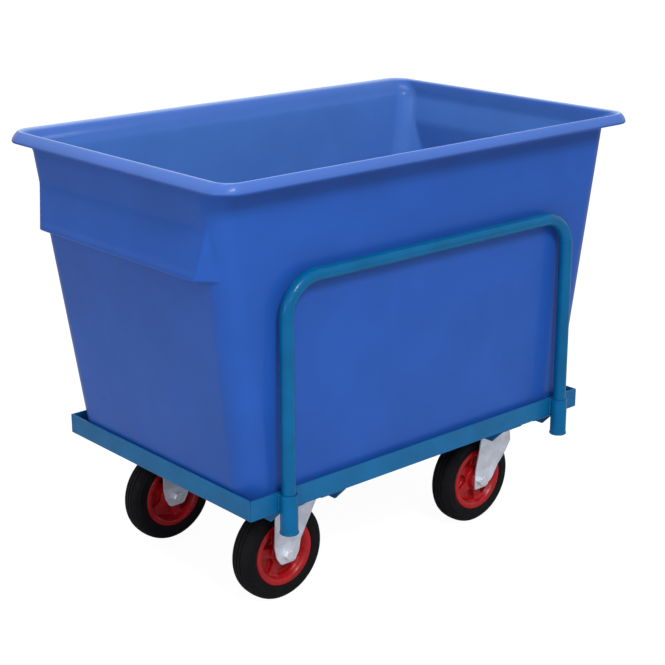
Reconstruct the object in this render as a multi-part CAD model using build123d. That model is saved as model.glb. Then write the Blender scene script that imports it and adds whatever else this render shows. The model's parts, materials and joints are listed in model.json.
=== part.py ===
from build123d import *
import os

# Wheeled container truck: a moulded tub stands in an angle iron tray on four castors, with a
# push hoop in sockets along each long side. Lengths are in millimetres and +Z is up. +X points
# to the swivel castors, -Y is the near side, and the origin is on the floor under the middle.

# Wheels and castors
wheel_radius = 100.0
tyre_width = 50.0
tread_width = 32.0
tread_shoulder_drop = 12.0
tread_shoulder_edge = 3.0
tread_groove_width = 2.6
tread_groove_depth = 2.4
tread_groove_pitch = 9.0
rim_radius = 68.0
rim_width = 49.0
rim_thickness = 10.5
rim_lead = 7.5
hub_length = 60.0
hub_boss_radius = 22.0
hub_web = 9.0
hub_dish_width = 27.0
hub_dish_fall = 2.0
spoke_count = 5
spoke_width = 20.0
spoke_turn = 28.0
pocket_inner_radius = 26.0
pocket_outer_radius = 50.0
pocket_corner = 4.0
bearing_radius = 12.5
sleeve_radius = 8.0
running_clearance = 0.05
side_play = 1.0
axle_bolt_radius = 6.0
axle_bolt_clearance = 0.2
axle_head_across = 19.0
axle_head_height = 7.5
axle_nut_height = 10.0
axle_thread_end = 3.0
axle_chamfer = 0.9
castor_height = 239.0
castor_plate_length = 110.0
castor_plate_width = 140.0
castor_plate_corner = 10.0
pressing_thickness = 3.5
pressing_bend = 7.0
leg_splay_level = 124.0
leg_foot_drop = 18.0
leg_foot_half = 18.0
leg_top_half = 56.0
leg_corner = 10.0
castor_trail = 51.0
crown_gap = 30.0
crown_half_width = 46.0
crown_front = 43.0
crown_back = 62.0
crown_corner = 26.0
fork_foot_front = 20.0
fork_axle_front = 37.0
fork_neck_front = 20.0
fork_neck_level = 147.0
race_cup_radius = 38.0
race_cup_depth = 11.0
race_cup_chamfer = 3.3
race_ring_radius = 42.0
race_ring_bore = 27.0
race_ring_round = 6.0
swivel_gap = 0.3
king_pin_radius = 7.0
king_pin_head_radius = 12.0
king_pin_head_height = 5.0
king_pin_head_chamfer = 2.0
king_pin_cap_round = 1.7
castor_x = 296.0
castor_y = 183.0

# Castor fixing bolts
plate_hole_x = 80.0
plate_hole_y = 105.0
plate_bolt_radius = 4.0
plate_hole_clearance = 0.5
plate_bolt_across = 13.0
plate_bolt_head = 5.3
plate_nut_height = 6.5
plate_washer_radius = 8.0
plate_washer_thickness = 1.6
plate_bolt_end = 2.0

# Angle iron tray
tray_length = 900.0
tray_width = 600.0
rail_leg = 40.0
angle_thickness = 4.0
angle_root_radius = 4.0
cross_flange = 60.0
cross_leg = 30.0
cross_bay = 162.0
cross_middle = 299.0

# Push hoops and their sockets
hoop_tube_radius = 13.45
hoop_tube_wall = 2.0
hoop_span = 748.0
hoop_bar_level = 685.0
hoop_bend_radius = 70.0
socket_wall = 3.0
socket_clearance = 0.4
socket_length = 78.0
socket_stop_thickness = 4.0
socket_stop_lip = 1.2
socket_drain_radius = 4.0
hoop_seat_gap = 0.3
weld_width = 5.0
weld_length = 30.0
weld_chamfer = 2.2

# Tub
tub_height = 634.0
tub_wall = 5.5
tub_corner = 42.0
tub_base_corner = 58.0
tub_base_length = 877.0
tub_base_width = 572.0
tub_mouth_length = 1040.0
tub_mouth_width = 608.0
tub_base_round = 22.0
rim_length = 1074.0
rim_breadth = 704.0
rim_corner = 52.0
rim_drop = 24.0
rim_round = 14.0
rim_inner_round = 4.0
foot_width = 34.0
base_panel_rise = 12.0
base_panel_draft = 8.0
pocket_low_drop = 184.0
pocket_high_drop = 94.0
pocket_reach = 525.0
pocket_front_half = 251.0
pocket_top_half = 270.0
pocket_root_half = 278.0
pocket_round = 5.0

# Levels and places that follow from the sizes above
castor_top = castor_height
rail_bottom = castor_top + angle_thickness
rail_top = rail_bottom + rail_leg
tub_low = rail_bottom + angle_thickness
tub_top = tub_low + tub_height
leg_inner = hub_length / 2 + side_play
leg_outer = leg_inner + pressing_thickness
crown_top = castor_top - crown_gap
socket_bore = hoop_tube_radius + socket_clearance
socket_radius = socket_bore + socket_wall
socket_y = tray_width / 2 + socket_radius
socket_low = rail_top - socket_length
hoop_end = socket_low + socket_stop_thickness + hoop_seat_gap
plate_hole_radius = plate_bolt_radius + plate_hole_clearance
axle_hole_radius = axle_bolt_radius + axle_bolt_clearance

lowest = (Align.CENTER, Align.CENTER, Align.MIN)
near_far = {"near": -1, "far": 1}


def save(piece, name):
    """Write one named piece of the truck."""
    export_step(piece, f"parts/{name}.step")


def post(radius, low, high):
    """Upright cylinder between two levels."""
    return Pos(0, 0, low) * Cylinder(radius, high - low, align=lowest)


def across(radius, start, end, level):
    """Cylinder along Y between two planes, with its axis at a level above x = 0."""
    rod = Cylinder(radius, end - start, align=lowest)
    return Pos(0, start, level) * Rot(-90, 0, 0) * rod


def hexagon(across_flats, height):
    """Hexagon prism that stands on the XY plane, flats facing Y."""
    return extrude(RegularPolygon(across_flats / 2, 6, major_radius=False), height)


# Tub


def wall_size(level):
    """Outer length and width of the tapered tub at a level."""
    share = (level - tub_low) / tub_height
    length = tub_base_length + (tub_mouth_length - tub_base_length) * share
    width = tub_base_width + (tub_mouth_width - tub_base_width) * share
    return length, width


def tub_block(inset, low, high):
    """Tapered block inside the tub's outer walls by an inset, its corners rounder at the base."""
    ends = []
    for level in (low, high):
        length, width = wall_size(level)
        share = (level - tub_low) / tub_height
        corner = tub_base_corner + (tub_corner - tub_base_corner) * share
        outline = RectangleRounded(length - 2 * inset, width - 2 * inset, corner - inset)
        ends.append((Pos(0, 0, level) * outline).face())
    block = loft(ends)
    return fillet(block.edges().group_by(Axis.Z)[0], tub_base_round - inset)


def base_panel(grow):
    """Raised middle of the tub's base, grown by the wall for the inner face."""
    ends = []
    for level, shrink in ((tub_low - 1, 0.0), (tub_low + base_panel_rise + grow, base_panel_draft)):
        length = tub_base_length - 2 * (foot_width + shrink - grow)
        width = tub_base_width - 2 * (foot_width + shrink - grow)
        outline = RectangleRounded(length, width, tub_corner)
        ends.append((Pos(0, 0, level) * outline).face())
    return loft(ends)


def end_pocket(inset):
    """Hollow pull on an end wall: leans out as it goes down and ends in a ledge."""
    low = tub_top - pocket_low_drop + inset
    high = tub_top - pocket_high_drop
    root = wall_size(low)[0] / 2 - inset
    inner = root - tub_corner / 2
    flush = wall_size(high)[0] / 2 - inset
    sections = []
    for level, reach, half in (
        (low, pocket_reach - inset, pocket_front_half - inset),
        (high, flush, pocket_top_half - inset),
    ):
        side = pocket_root_half - inset
        outline = Polyline(
            (inner, -side),
            (root - tub_wall, -side),
            (reach, -half),
            (reach, half),
            (root - tub_wall, side),
            (inner, side),
            close=True,
        )
        sections.append(Pos(0, 0, level) * make_face(outline))
    block = loft([section.face() for section in sections], ruled=True)
    if inset == 0:
        front = [edge for edge in block.edges() if edge.center().X > root and edge.center().Z < high - 1]
        block = fillet(front, pocket_round)
    return block


def rim_lip():
    """Rolled lip: a flat crest that turns down at its outer edge and is hollow beneath."""
    low = tub_top - rim_drop
    outer = extrude(Pos(0, 0, low) * RectangleRounded(rim_length, rim_breadth, rim_corner), rim_drop)
    outer = fillet(outer.edges().group_by(Axis.Z)[-1], rim_round)
    outline = RectangleRounded(rim_length - 2 * tub_wall, rim_breadth - 2 * tub_wall, rim_corner - tub_wall)
    hollow = extrude(Pos(0, 0, low - 1) * outline, rim_drop - tub_wall + 1)
    hollow = fillet(hollow.edges().group_by(Axis.Z)[-1], rim_round - tub_wall)
    return outer - hollow


def tub():
    """One-piece moulded tub with a rolled lip, a pull on each end and a raised base panel."""
    shape = rim_lip() + tub_block(0, tub_low, tub_top) - base_panel(0)
    cavity = tub_block(tub_wall, tub_low + tub_wall, tub_top + 1) - base_panel(tub_wall)
    for turn in (0, 180):
        shape += Rot(0, 0, turn) * end_pocket(0)
        cavity += Rot(0, 0, turn) * end_pocket(tub_wall)
    shape -= cavity
    mouth_length, mouth_width = wall_size(tub_top)
    mouth = [
        edge
        for edge in shape.edges().group_by(Axis.Z)[-1]
        if abs(edge.center().X) < mouth_length / 2 and abs(edge.center().Y) < mouth_width / 2
    ]
    return fillet(mouth, rim_inner_round)


# Angle iron tray


def angle_section(width, height):
    """Angle iron section with its heel at the origin and its legs along X and Y."""
    flat = Rectangle(width, angle_thickness, align=(Align.MIN, Align.MIN))
    upright = Rectangle(angle_thickness, height, align=(Align.MIN, Align.MIN))
    section = flat + upright
    root = section.vertices().sort_by_distance((angle_thickness, angle_thickness))[0]
    return fillet(root, angle_root_radius)


def tray_rail(length):
    """Angle iron along X with mitred ends, its upright on the plane y = 0 facing -Y."""
    bar = extrude(Plane.YZ * angle_section(rail_leg, rail_leg), length / 2, both=True)
    plan = Polyline(
        (-length / 2, 0),
        (length / 2, 0),
        (length / 2 - rail_leg, rail_leg),
        (-length / 2 + rail_leg, rail_leg),
        close=True,
    )
    return bar & extrude(make_face(plan), rail_leg)


def cross_member(hole_inset):
    """Angle iron along Y: flange on top towards -X with holes set in from its heel, ends sniped."""
    section = mirror(angle_section(cross_flange, cross_leg), Plane.XZ)
    section = mirror(section, Plane.YZ)
    bar = extrude(Plane.XZ * section, tray_width / 2, both=True)
    side = Polyline(
        (-tray_width / 2, 0),
        (tray_width / 2, 0),
        (tray_width / 2 - cross_leg, -cross_leg),
        (-tray_width / 2 + cross_leg, -cross_leg),
        close=True,
    )
    bar &= extrude(Plane.YZ * make_face(side), cross_flange, both=True)
    for middle in (-castor_y, castor_y):
        for hole_y in (-plate_hole_y / 2, plate_hole_y / 2):
            bar -= Pos(-hole_inset, middle + hole_y, 0) * Cylinder(plate_hole_radius, 3 * angle_thickness)
    return bar


# Push hoops and sockets


def socket_places():
    """Name, x and side of each of the four hoop sockets."""
    places = []
    for side, sign in near_far.items():
        places.append((f"{side}_fixed_end", -hoop_span / 2, sign))
        places.append((f"{side}_swivel_end", hoop_span / 2, sign))
    return places


def hoop_socket():
    """Upright tube that a hoop leg drops into."""
    return post(socket_radius, socket_low + socket_stop_thickness, rail_top) - post(
        socket_bore, socket_low, rail_top + 1
    )


def socket_stop():
    """Drained disc welded under a socket, which the hoop leg stands on."""
    disc = post(socket_radius + socket_stop_lip, socket_low, socket_low + socket_stop_thickness)
    disc = fillet(disc.edges().group_by(Axis.Z)[0], socket_stop_lip)
    return disc - post(socket_drain_radius, socket_low - 1, rail_top)


def socket_weld():
    """Pair of weld beads between a socket and the rail face behind it, for the near side."""
    low = rail_top - weld_length - angle_thickness
    block = Box(2 * socket_radius, weld_width, weld_length, align=(Align.CENTER, Align.MIN, Align.MIN))
    beads = Pos(0, -tray_width / 2 - weld_width, low) * block
    beads -= Pos(0, -socket_y, 0) * post(socket_radius, 0, rail_top)
    edges = beads.edges().filter_by(Axis.Z).group_by(Axis.Y)[0]
    return chamfer(edges, weld_chamfer)


def push_hoop():
    """Bent tube: two legs and a bar, in the XZ plane."""
    path = FilletPolyline(
        (-hoop_span / 2, 0, hoop_end),
        (-hoop_span / 2, 0, hoop_bar_level),
        (hoop_span / 2, 0, hoop_bar_level),
        (hoop_span / 2, 0, hoop_end),
        radius=hoop_bend_radius,
    )
    ring = Circle(hoop_tube_radius) - Circle(hoop_tube_radius - hoop_tube_wall)
    return sweep(Plane(path @ 0, z_dir=path % 0) * ring, path=path)


# Castors


def pressing_profile(top, half_width):
    """Section of a bent sheet: a flat top and two splayed legs that end upright."""
    foot = wheel_radius - 2 * leg_foot_drop
    outline = Polyline(
        (-leg_outer, foot),
        (-leg_outer, leg_splay_level),
        (-half_width, top),
        (half_width, top),
        (leg_outer, leg_splay_level),
        (leg_outer, foot),
        close=True,
    )
    outer = make_face(outline)
    corners = outer.vertices().group_by(Axis.Y)
    outer = fillet(corners[-1] + corners[-2], pressing_bend)
    inner = offset(outer, -pressing_thickness)
    inner += Pos(0, foot) * Rectangle(2 * leg_inner, 4 * pressing_thickness)
    return outer - inner


def fixed_bracket():
    """Pressed bracket of a fixed castor, centred on its wheel."""
    section = pressing_profile(castor_top, castor_plate_width / 2)
    sheet = extrude(Plane.YZ * section, leg_top_half, both=True)
    leg = Polyline(
        (-leg_foot_half, wheel_radius - leg_foot_drop),
        (leg_foot_half, wheel_radius - leg_foot_drop),
        (leg_foot_half + leg_corner, wheel_radius),
        (leg_top_half, castor_top),
        (-leg_top_half, castor_top),
        (-leg_foot_half - leg_corner, wheel_radius),
        close=True,
    )
    leg_face = make_face(leg)
    leg_face = fillet(leg_face.vertices().group_by(Axis.Y)[0], leg_corner)
    bracket = sheet & extrude(Plane.XZ * leg_face, castor_plate_width, both=True)
    return bracket - plate_holes() - across(axle_hole_radius, -leg_outer - 1, leg_outer + 1, wheel_radius)


def plate_holes():
    """Drill for the four fixing holes of a castor plate."""
    drill = Cylinder(plate_hole_radius, 4 * pressing_thickness)
    return Pos(0, 0, castor_top) * GridLocations(plate_hole_x, plate_hole_y, 2, 2) * drill


def swivel_plate():
    """Top plate of a swivel castor with its pressed race cup and the king pin hole."""
    plate = RectangleRounded(castor_plate_length, castor_plate_width, castor_plate_corner)
    body = extrude(Pos(0, 0, castor_top - pressing_thickness) * plate, pressing_thickness)
    body -= plate_holes()
    low = castor_top - pressing_thickness - race_cup_depth
    cup = post(race_cup_radius, low, castor_top - pressing_thickness)
    cup = chamfer(cup.edges().group_by(Axis.Z)[0], race_cup_chamfer)
    hole = post(king_pin_radius, low - 1, castor_top + 1)
    return body + cup - hole


def swivel_race():
    """Ball race ring under the cup, just clear of the turning crown."""
    high = castor_top - pressing_thickness - race_cup_depth
    low = crown_top + swivel_gap
    ring = post(race_ring_radius, low, high)
    ring = fillet(ring.edges().group_by(Axis.Z)[0], race_ring_round)
    return ring - post(race_ring_bore, low - 1, high + 1)


def king_pin():
    """Rivet through the plate that carries the fork, with its closed head under the crown."""
    low = crown_top - pressing_thickness - swivel_gap - king_pin_head_height
    pin = post(king_pin_radius, low, castor_top)
    head = post(king_pin_head_radius, low, low + king_pin_head_height)
    head = chamfer(head.edges().group_by(Axis.Z)[0], king_pin_head_chamfer)
    cap = post(king_pin_head_radius, castor_top, castor_top + pressing_thickness)
    return pin + head + fillet(cap.edges().group_by(Axis.Z)[-1], king_pin_cap_round)


def swivel_fork():
    """Pressed fork that trails its axle behind the king pin, which is at x = 0."""
    reach = crown_back + castor_trail
    sheet = extrude(Plane.YZ * pressing_profile(crown_top, crown_half_width), reach, both=True)
    side = Polyline(
        (-castor_trail - leg_foot_half, wheel_radius - leg_foot_drop),
        (-castor_trail + fork_foot_front, wheel_radius - leg_foot_drop),
        (-castor_trail + fork_axle_front, wheel_radius),
        (fork_neck_front, fork_neck_level),
        (crown_front, crown_top),
        (-crown_back, crown_top),
        (-castor_trail - leg_foot_half, wheel_radius),
        close=True,
    )
    side_face = make_face(side)
    side_face = fillet(side_face.vertices().group_by(Axis.Y)[0], leg_corner)
    plan = RectangleRounded(2 * reach, 2 * crown_half_width, crown_corner)
    shape = sheet & extrude(Plane.XZ * side_face, castor_plate_width, both=True)
    shape &= extrude(Pos(crown_front - reach, 0, 0) * plan, castor_top)
    shape -= post(king_pin_radius + running_clearance, wheel_radius, castor_top)
    hole = across(axle_hole_radius, -leg_outer - 1, leg_outer + 1, wheel_radius)
    return shape - Pos(-castor_trail, 0, 0) * hole


def axle_bolt():
    """Axle bolt with its head on the near side."""
    end = leg_outer + axle_nut_height + axle_thread_end
    shank = across(axle_bolt_radius, -leg_outer, end, wheel_radius)
    head = Rot(90, 0, 0) * hexagon(axle_head_across, axle_head_height)
    head = chamfer(head.edges().group_by(Axis.Y)[0], axle_chamfer)
    return shank + Pos(0, -leg_outer, wheel_radius) * head


def axle_nut():
    """Nut on the far end of the axle bolt."""
    nut = Rot(-90, 0, 0) * hexagon(axle_head_across, axle_nut_height)
    nut = chamfer(nut.edges().group_by(Axis.Y)[-1], axle_chamfer)
    return Pos(0, leg_outer, wheel_radius) * nut - across(axle_bolt_radius, 0, 2 * leg_outer, wheel_radius)


def axle_sleeve():
    """Spacer tube clamped between the legs, which the bearing turns on."""
    outside = across(sleeve_radius, -leg_inner, leg_inner, wheel_radius)
    return outside - across(axle_hole_radius, -leg_outer, leg_outer, wheel_radius)


def wheel_bearing():
    """Roller bearing in the hub bore."""
    outside = across(bearing_radius, -hub_length / 2, hub_length / 2, wheel_radius)
    bore = across(sleeve_radius + running_clearance, -hub_length, hub_length, wheel_radius)
    return outside - bore


def wheel_hub():
    """Moulded wheel centre: a rim that dishes in to five broad arms, with pockets between them."""
    rim_inner = rim_radius - rim_thickness
    half = Polyline(
        (bearing_radius, 0),
        (bearing_radius, hub_length / 2),
        (hub_boss_radius, hub_length / 2),
        (hub_boss_radius, hub_dish_width / 2 + hub_dish_fall),
        (rim_inner - rim_lead, hub_dish_width / 2),
        (rim_inner, rim_width / 2),
        (rim_radius, rim_width / 2),
        (rim_radius, 0),
        close=True,
    )
    half_face = make_face(half)
    centre = revolve(half_face + mirror(half_face, Plane.XZ), Axis.Y)
    pocket = Circle(pocket_outer_radius) - Circle(pocket_inner_radius)
    for index in range(spoke_count):
        arm = Rectangle(rim_radius, spoke_width, align=(Align.MIN, Align.CENTER))
        pocket -= Rot(0, 0, 360 * index / spoke_count) * arm
    pocket = fillet(pocket.vertices(), pocket_corner)
    for turn, side in ((90, 1), (-90, -1)):
        face_pocket = Rot(0, 0, side * spoke_turn) * pocket
        centre -= Rot(turn, 0, 0) * extrude(Pos(0, 0, hub_web / 2) * face_pocket, hub_length)
    return Pos(0, 0, wheel_radius) * centre


def tyre():
    """Solid rubber tyre with rounded shoulders and grooves round its tread."""
    half = Polyline(
        (rim_radius, 0),
        (rim_radius, rim_width / 2),
        (rim_radius + tread_shoulder_edge, tyre_width / 2),
        (wheel_radius - tread_shoulder_drop, tyre_width / 2),
        (wheel_radius - tread_shoulder_edge, tread_width / 2 + tread_shoulder_edge),
        (wheel_radius, tread_width / 2),
        (wheel_radius, 0),
        close=True,
    )
    half_face = make_face(half)
    section = half_face + mirror(half_face, Plane.XZ)
    for step in (-1, 0, 1):
        groove = Rectangle(2 * tread_groove_depth, tread_groove_width)
        section -= Pos(wheel_radius, step * tread_groove_pitch) * groove
    return Pos(0, 0, wheel_radius) * revolve(section, Axis.Y)


def plate_fixings(piece):
    """One fixing piece at each hole of the four castor plates, as separate solids."""
    pieces = []
    for x in (-castor_x, castor_x):
        for y in (-castor_y, castor_y):
            for place in GridLocations(plate_hole_x, plate_hole_y, 2, 2):
                pieces.append(Pos(x, y, 0) * place * piece)
    return Compound(children=pieces)


def plate_bolt():
    """Bolt from below through a castor plate and the flange above it."""
    low = castor_top - pressing_thickness
    top = rail_bottom + plate_washer_thickness + plate_nut_height + plate_bolt_end
    head = Pos(0, 0, low - plate_bolt_head) * hexagon(plate_bolt_across, plate_bolt_head)
    return head + post(plate_bolt_radius, low, top)


def plate_washer():
    """Washer on the cross member's flange."""
    low = rail_bottom
    ring = post(plate_washer_radius, low, low + plate_washer_thickness)
    return ring - post(plate_hole_radius, low - 1, rail_top)


def plate_nut():
    """Nut on top of the washer."""
    low = rail_bottom + plate_washer_thickness
    nut = Pos(0, 0, low) * hexagon(plate_bolt_across, plate_nut_height)
    return nut - post(plate_bolt_radius, low - 1, rail_top)


# Whole truck


def build_tray():
    """Tub, rails, cross members, sockets and hoops."""
    save(tub(), "tub")
    side_rail = Pos(0, -tray_width / 2, rail_bottom) * tray_rail(tray_length)
    end_rail = Pos(0, -tray_length / 2, rail_bottom) * tray_rail(tray_width)
    save(side_rail, "rail_near")
    save(Rot(0, 0, 180) * side_rail, "rail_far")
    save(Rot(0, 0, -90) * end_rail, "rail_fixed_end")
    save(Rot(0, 0, 90) * end_rail, "rail_swivel_end")

    outer_x = cross_middle + cross_bay / 2
    inner_x = cross_middle - cross_bay / 2
    outer = Pos(outer_x, 0, rail_bottom) * cross_member(outer_x - castor_x - plate_hole_x / 2)
    inner = Pos(-inner_x, 0, rail_bottom) * cross_member(castor_x - plate_hole_x / 2 - inner_x)
    save(outer, "cross_member_swivel_outer")
    save(Rot(0, 0, 180) * inner, "cross_member_swivel_inner")
    save(inner, "cross_member_fixed_inner")
    save(Rot(0, 0, 180) * outer, "cross_member_fixed_outer")

    stops = []
    welds = []
    for name, x, sign in socket_places():
        place = Pos(x, sign * socket_y, 0)
        save(place * hoop_socket(), f"hoop_socket_{name}")
        stops.append(place * socket_stop())
        beads = Pos(x, 0, 0) * (Rot(0, 0, 0 if sign < 0 else 180) * socket_weld())
        welds.extend(beads.solids())
    save(Compound(children=stops), "socket_stops")
    save(Compound(children=welds), "socket_welds")
    for side, sign in near_far.items():
        save(Pos(0, sign * socket_y, 0) * push_hoop(), f"push_hoop_{side}")


def build_wheel(place, name):
    """Axle and wheel pieces of one castor."""
    pieces = {
        "axle_bolt": axle_bolt,
        "axle_nut": axle_nut,
        "axle_sleeve": axle_sleeve,
        "wheel_bearing": wheel_bearing,
        "wheel_hub": wheel_hub,
        "tyre": tyre,
    }
    for piece_name, make in pieces.items():
        save(place * make(), f"{piece_name}_{name}")


def build_castors():
    """Two fixed castors at the -X end and two swivel castors at the +X end."""
    for side, sign in near_far.items():
        fixed = Pos(-castor_x, sign * castor_y, 0)
        swivel = Pos(castor_x, sign * castor_y, 0)
        save(fixed * fixed_bracket(), f"fixed_bracket_{side}")
        save(swivel * swivel_plate(), f"swivel_plate_{side}")
        save(swivel * swivel_race(), f"swivel_race_{side}")
        save(swivel * king_pin(), f"king_pin_{side}")
        save(swivel * swivel_fork(), f"swivel_fork_{side}")
        build_wheel(fixed, f"fixed_{side}")
        build_wheel(swivel * Pos(-castor_trail, 0, 0), f"swivel_{side}")
    save(plate_fixings(plate_bolt()), "castor_bolts")
    save(plate_fixings(plate_washer()), "castor_washers")
    save(plate_fixings(plate_nut()), "castor_nuts")


os.makedirs("parts", exist_ok=True)
build_tray()
build_castors()
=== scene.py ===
import json
import math

import bmesh
import bpy
from mathutils import Matrix, Vector


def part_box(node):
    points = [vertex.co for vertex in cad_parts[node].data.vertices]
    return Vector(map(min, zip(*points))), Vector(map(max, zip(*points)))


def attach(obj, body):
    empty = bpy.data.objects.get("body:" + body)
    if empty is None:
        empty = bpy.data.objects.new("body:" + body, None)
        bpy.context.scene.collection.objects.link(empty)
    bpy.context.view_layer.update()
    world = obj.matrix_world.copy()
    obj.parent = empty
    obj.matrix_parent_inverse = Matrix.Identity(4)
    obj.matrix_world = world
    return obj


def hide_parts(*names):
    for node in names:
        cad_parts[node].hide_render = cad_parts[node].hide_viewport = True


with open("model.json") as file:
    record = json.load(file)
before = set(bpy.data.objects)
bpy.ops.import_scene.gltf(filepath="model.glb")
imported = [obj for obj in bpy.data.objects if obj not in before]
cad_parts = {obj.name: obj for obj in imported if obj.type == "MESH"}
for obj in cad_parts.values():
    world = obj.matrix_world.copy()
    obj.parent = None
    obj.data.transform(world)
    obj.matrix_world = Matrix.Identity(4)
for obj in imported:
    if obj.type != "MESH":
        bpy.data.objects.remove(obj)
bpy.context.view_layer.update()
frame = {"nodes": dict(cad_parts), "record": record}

bl_info = {
    "name": "Wheeled container truck",
    "version": (1, 0, 0),
    "blender": (4, 5, 0),
    "location": "View3D > Sidebar > Truck",
    "description": "Moulded tub in an angle iron tray on castors, with a push hoop on each side",
    "category": "Add Mesh",
}

MM = 0.001
SIDES = ("near", "far")
CASTORS = ("fixed_near", "fixed_far", "swivel_near", "swivel_far")
FULL_TURN = 2 * math.pi


def middle(node):
    """Middle of a CAD node's box."""
    low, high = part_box(node)
    return (low + high) / 2


def span(node):
    """Size of a CAD node's box."""
    low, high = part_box(node)
    return high - low


def wheel_body(castor):
    """Name of the body that a castor's wheel turns as."""
    kind, side = castor.split("_")
    return f"{kind}_wheel_{side}"


def frame_body(castor):
    """Name of the body that holds a castor's axle."""
    kind, side = castor.split("_")
    return "chassis" if kind == "fixed" else f"fork_{side}"


# Meshes


def mesh_object(name, points, faces, smooth=True):
    """Object at the origin with its place in its mesh."""
    mesh = bpy.data.meshes.new(name)
    mesh.from_pydata([tuple(point) for point in points], [], faces)
    mesh.validate()
    piece = bpy.data.objects.new(name, mesh)
    bpy.context.scene.collection.objects.link(piece)
    if smooth:
        mesh.shade_smooth()
    return piece


def outward(piece):
    """Merge doubles and point every face outwards."""
    work = bmesh.new()
    work.from_mesh(piece.data)
    bmesh.ops.remove_doubles(work, verts=work.verts, dist=0.00001)
    bmesh.ops.recalc_face_normals(work, faces=work.faces)
    work.to_mesh(piece.data)
    work.free()
    return piece


def bridge(rings, first_cap=False, last_cap=False, closed=True):
    """Points and faces of a skin over rings of equal count."""
    count = len(rings[0])
    points = [point for ring in rings for point in ring]
    faces = []
    steps = count if closed else count - 1
    for row in range(len(rings) - 1):
        for column in range(steps):
            a = row * count + column
            b = row * count + (column + 1) % count
            faces.append((a, b, b + count, a + count))
    if first_cap:
        faces.append(tuple(reversed(range(count))))
    if last_cap:
        base = (len(rings) - 1) * count
        faces.append(tuple(range(base, base + count)))
    return points, faces


def lathe(profile, centre, axis="Z", segments=48):
    """Points and faces of a profile of (radius, height) turned round an axis through a centre."""
    rings = []
    for radius, height in profile:
        ring = []
        for step in range(segments):
            angle = FULL_TURN * step / segments
            u, v = radius * math.cos(angle), radius * math.sin(angle)
            offset = (u, v, height) if axis == "Z" else (u, height, v)
            ring.append(tuple(c + d for c, d in zip(centre, offset)))
        rings.append(ring)
    return bridge(rings)


def joined(parts):
    """One list of points and one of faces from several."""
    points, faces = [], []
    for more_points, more_faces in parts:
        start = len(points)
        points.extend(more_points)
        faces.extend(tuple(index + start for index in face) for face in more_faces)
    return points, faces


def plain_mesh(piece):
    """Replace a piece with what its modifiers make of it."""
    bpy.context.view_layer.update()
    graph = bpy.context.evaluated_depsgraph_get()
    result = piece.evaluated_get(graph)
    mesh = bpy.data.meshes.new_from_object(result, preserve_all_data_layers=True, depsgraph=graph)
    piece.modifiers.clear()
    piece.data = mesh
    return piece


def bevelled(piece, width, segments=2, angle=35):
    """Round the sharp edges of a piece."""
    bevel = piece.modifiers.new("edges", "BEVEL")
    bevel.width = width
    bevel.segments = segments
    bevel.limit_method = "ANGLE"
    bevel.angle_limit = math.radians(angle)
    bevel.harden_normals = True
    return plain_mesh(piece)


def arc_points(centre, radius, start, end, steps):
    """Points on an arc between two angles in degrees."""
    points = []
    for step in range(steps + 1):
        angle = math.radians(start + (end - start) * step / steps)
        points.append((centre[0] + radius * math.cos(angle), centre[1] + radius * math.sin(angle)))
    return points


def rounded_path(corners, radii, steps=6):
    """Polyline with each inner corner replaced by an arc of its radius."""
    path = [Vector(corners[0])]
    for index in range(1, len(corners) - 1):
        here = Vector(corners[index])
        before = (Vector(corners[index - 1]) - here).normalized()
        after = (Vector(corners[index + 1]) - here).normalized()
        radius = radii[index - 1]
        half = before.angle(after) / 2
        reach = radius / math.tan(half)
        start, end = here + before * reach, here + after * reach
        centre = here + (before + after).normalized() * (radius / math.sin(half))
        for step in range(steps + 1):
            spoke = (start - centre).lerp(end - centre, step / steps).normalized() * radius
            path.append(centre + spoke)
    path.append(Vector(corners[-1]))
    return path


def between(pairs, at):
    """Value at a place along a list of (place, value) pairs."""
    if at <= pairs[0][0]:
        return pairs[0][1]
    for (low, first), (high, second) in zip(pairs, pairs[1:]):
        if at <= high:
            return first + (second - first) * (at - low) / (high - low)
    return pairs[-1][1]


def soft_max(a, b, width):
    """Larger of two values, rounded where they meet."""
    return (a + b + math.sqrt((a - b) ** 2 + width**2)) / 2


def soft_min(a, b, width):
    """Smaller of two values, rounded where they meet."""
    return (a + b - math.sqrt((a - b) ** 2 + width**2)) / 2


def smooth_step(value):
    """Ease from 0 to 1."""
    value = min(1.0, max(0.0, value))
    return value * value * (3 - 2 * value)


def finish_piece(piece, body, slot, finish, *nodes):
    """Give a piece its material and body and hide the CAD nodes it stands for; the slot is not used."""
    piece.data.materials.clear()
    piece.data.materials.append(finish)
    for polygon in piece.data.polygons:
        polygon.material_index = 0
    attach(piece, body)
    if nodes:
        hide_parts(*nodes)
    return piece


def repaint(node, finish):
    """Give a CAD node a procedural material."""
    piece = frame["nodes"][node]
    piece.data.materials.clear()
    piece.data.materials.append(finish)


# Nodes


class Nodes:
    """Node tree with short ways to add nodes."""

    def __init__(self, tree):
        self.tree = tree

    def join(self, value, socket):
        """Link a socket or set its value."""
        if isinstance(value, bpy.types.NodeSocket):
            self.tree.links.new(value, socket)
        else:
            socket.default_value = value

    def node(self, kind, settings=None, **links):
        """Add a node, set its properties and link or set its inputs by name."""
        node = self.tree.nodes.new(kind)
        for key, value in (settings or {}).items():
            setattr(node, key, value)
        for label, value in links.items():
            self.join(value, node.inputs[label.replace("_", " ")])
        return node

    def in_order(self, kind, settings, values):
        """Add a node, link or set its inputs in order and return its output."""
        node = self.node(kind, settings)
        for value, socket in zip(values, node.inputs):
            self.join(value, socket)
        return node.outputs[0]

    def math(self, operation, *values):
        """Work out a value from others."""
        return self.in_order("ShaderNodeMath", {"operation": operation}, values)

    def blend(self, share, first, second):
        """Mix two shaders by a share."""
        return self.in_order("ShaderNodeMixShader", {}, (share, first, second))


# Geometry Nodes


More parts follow.
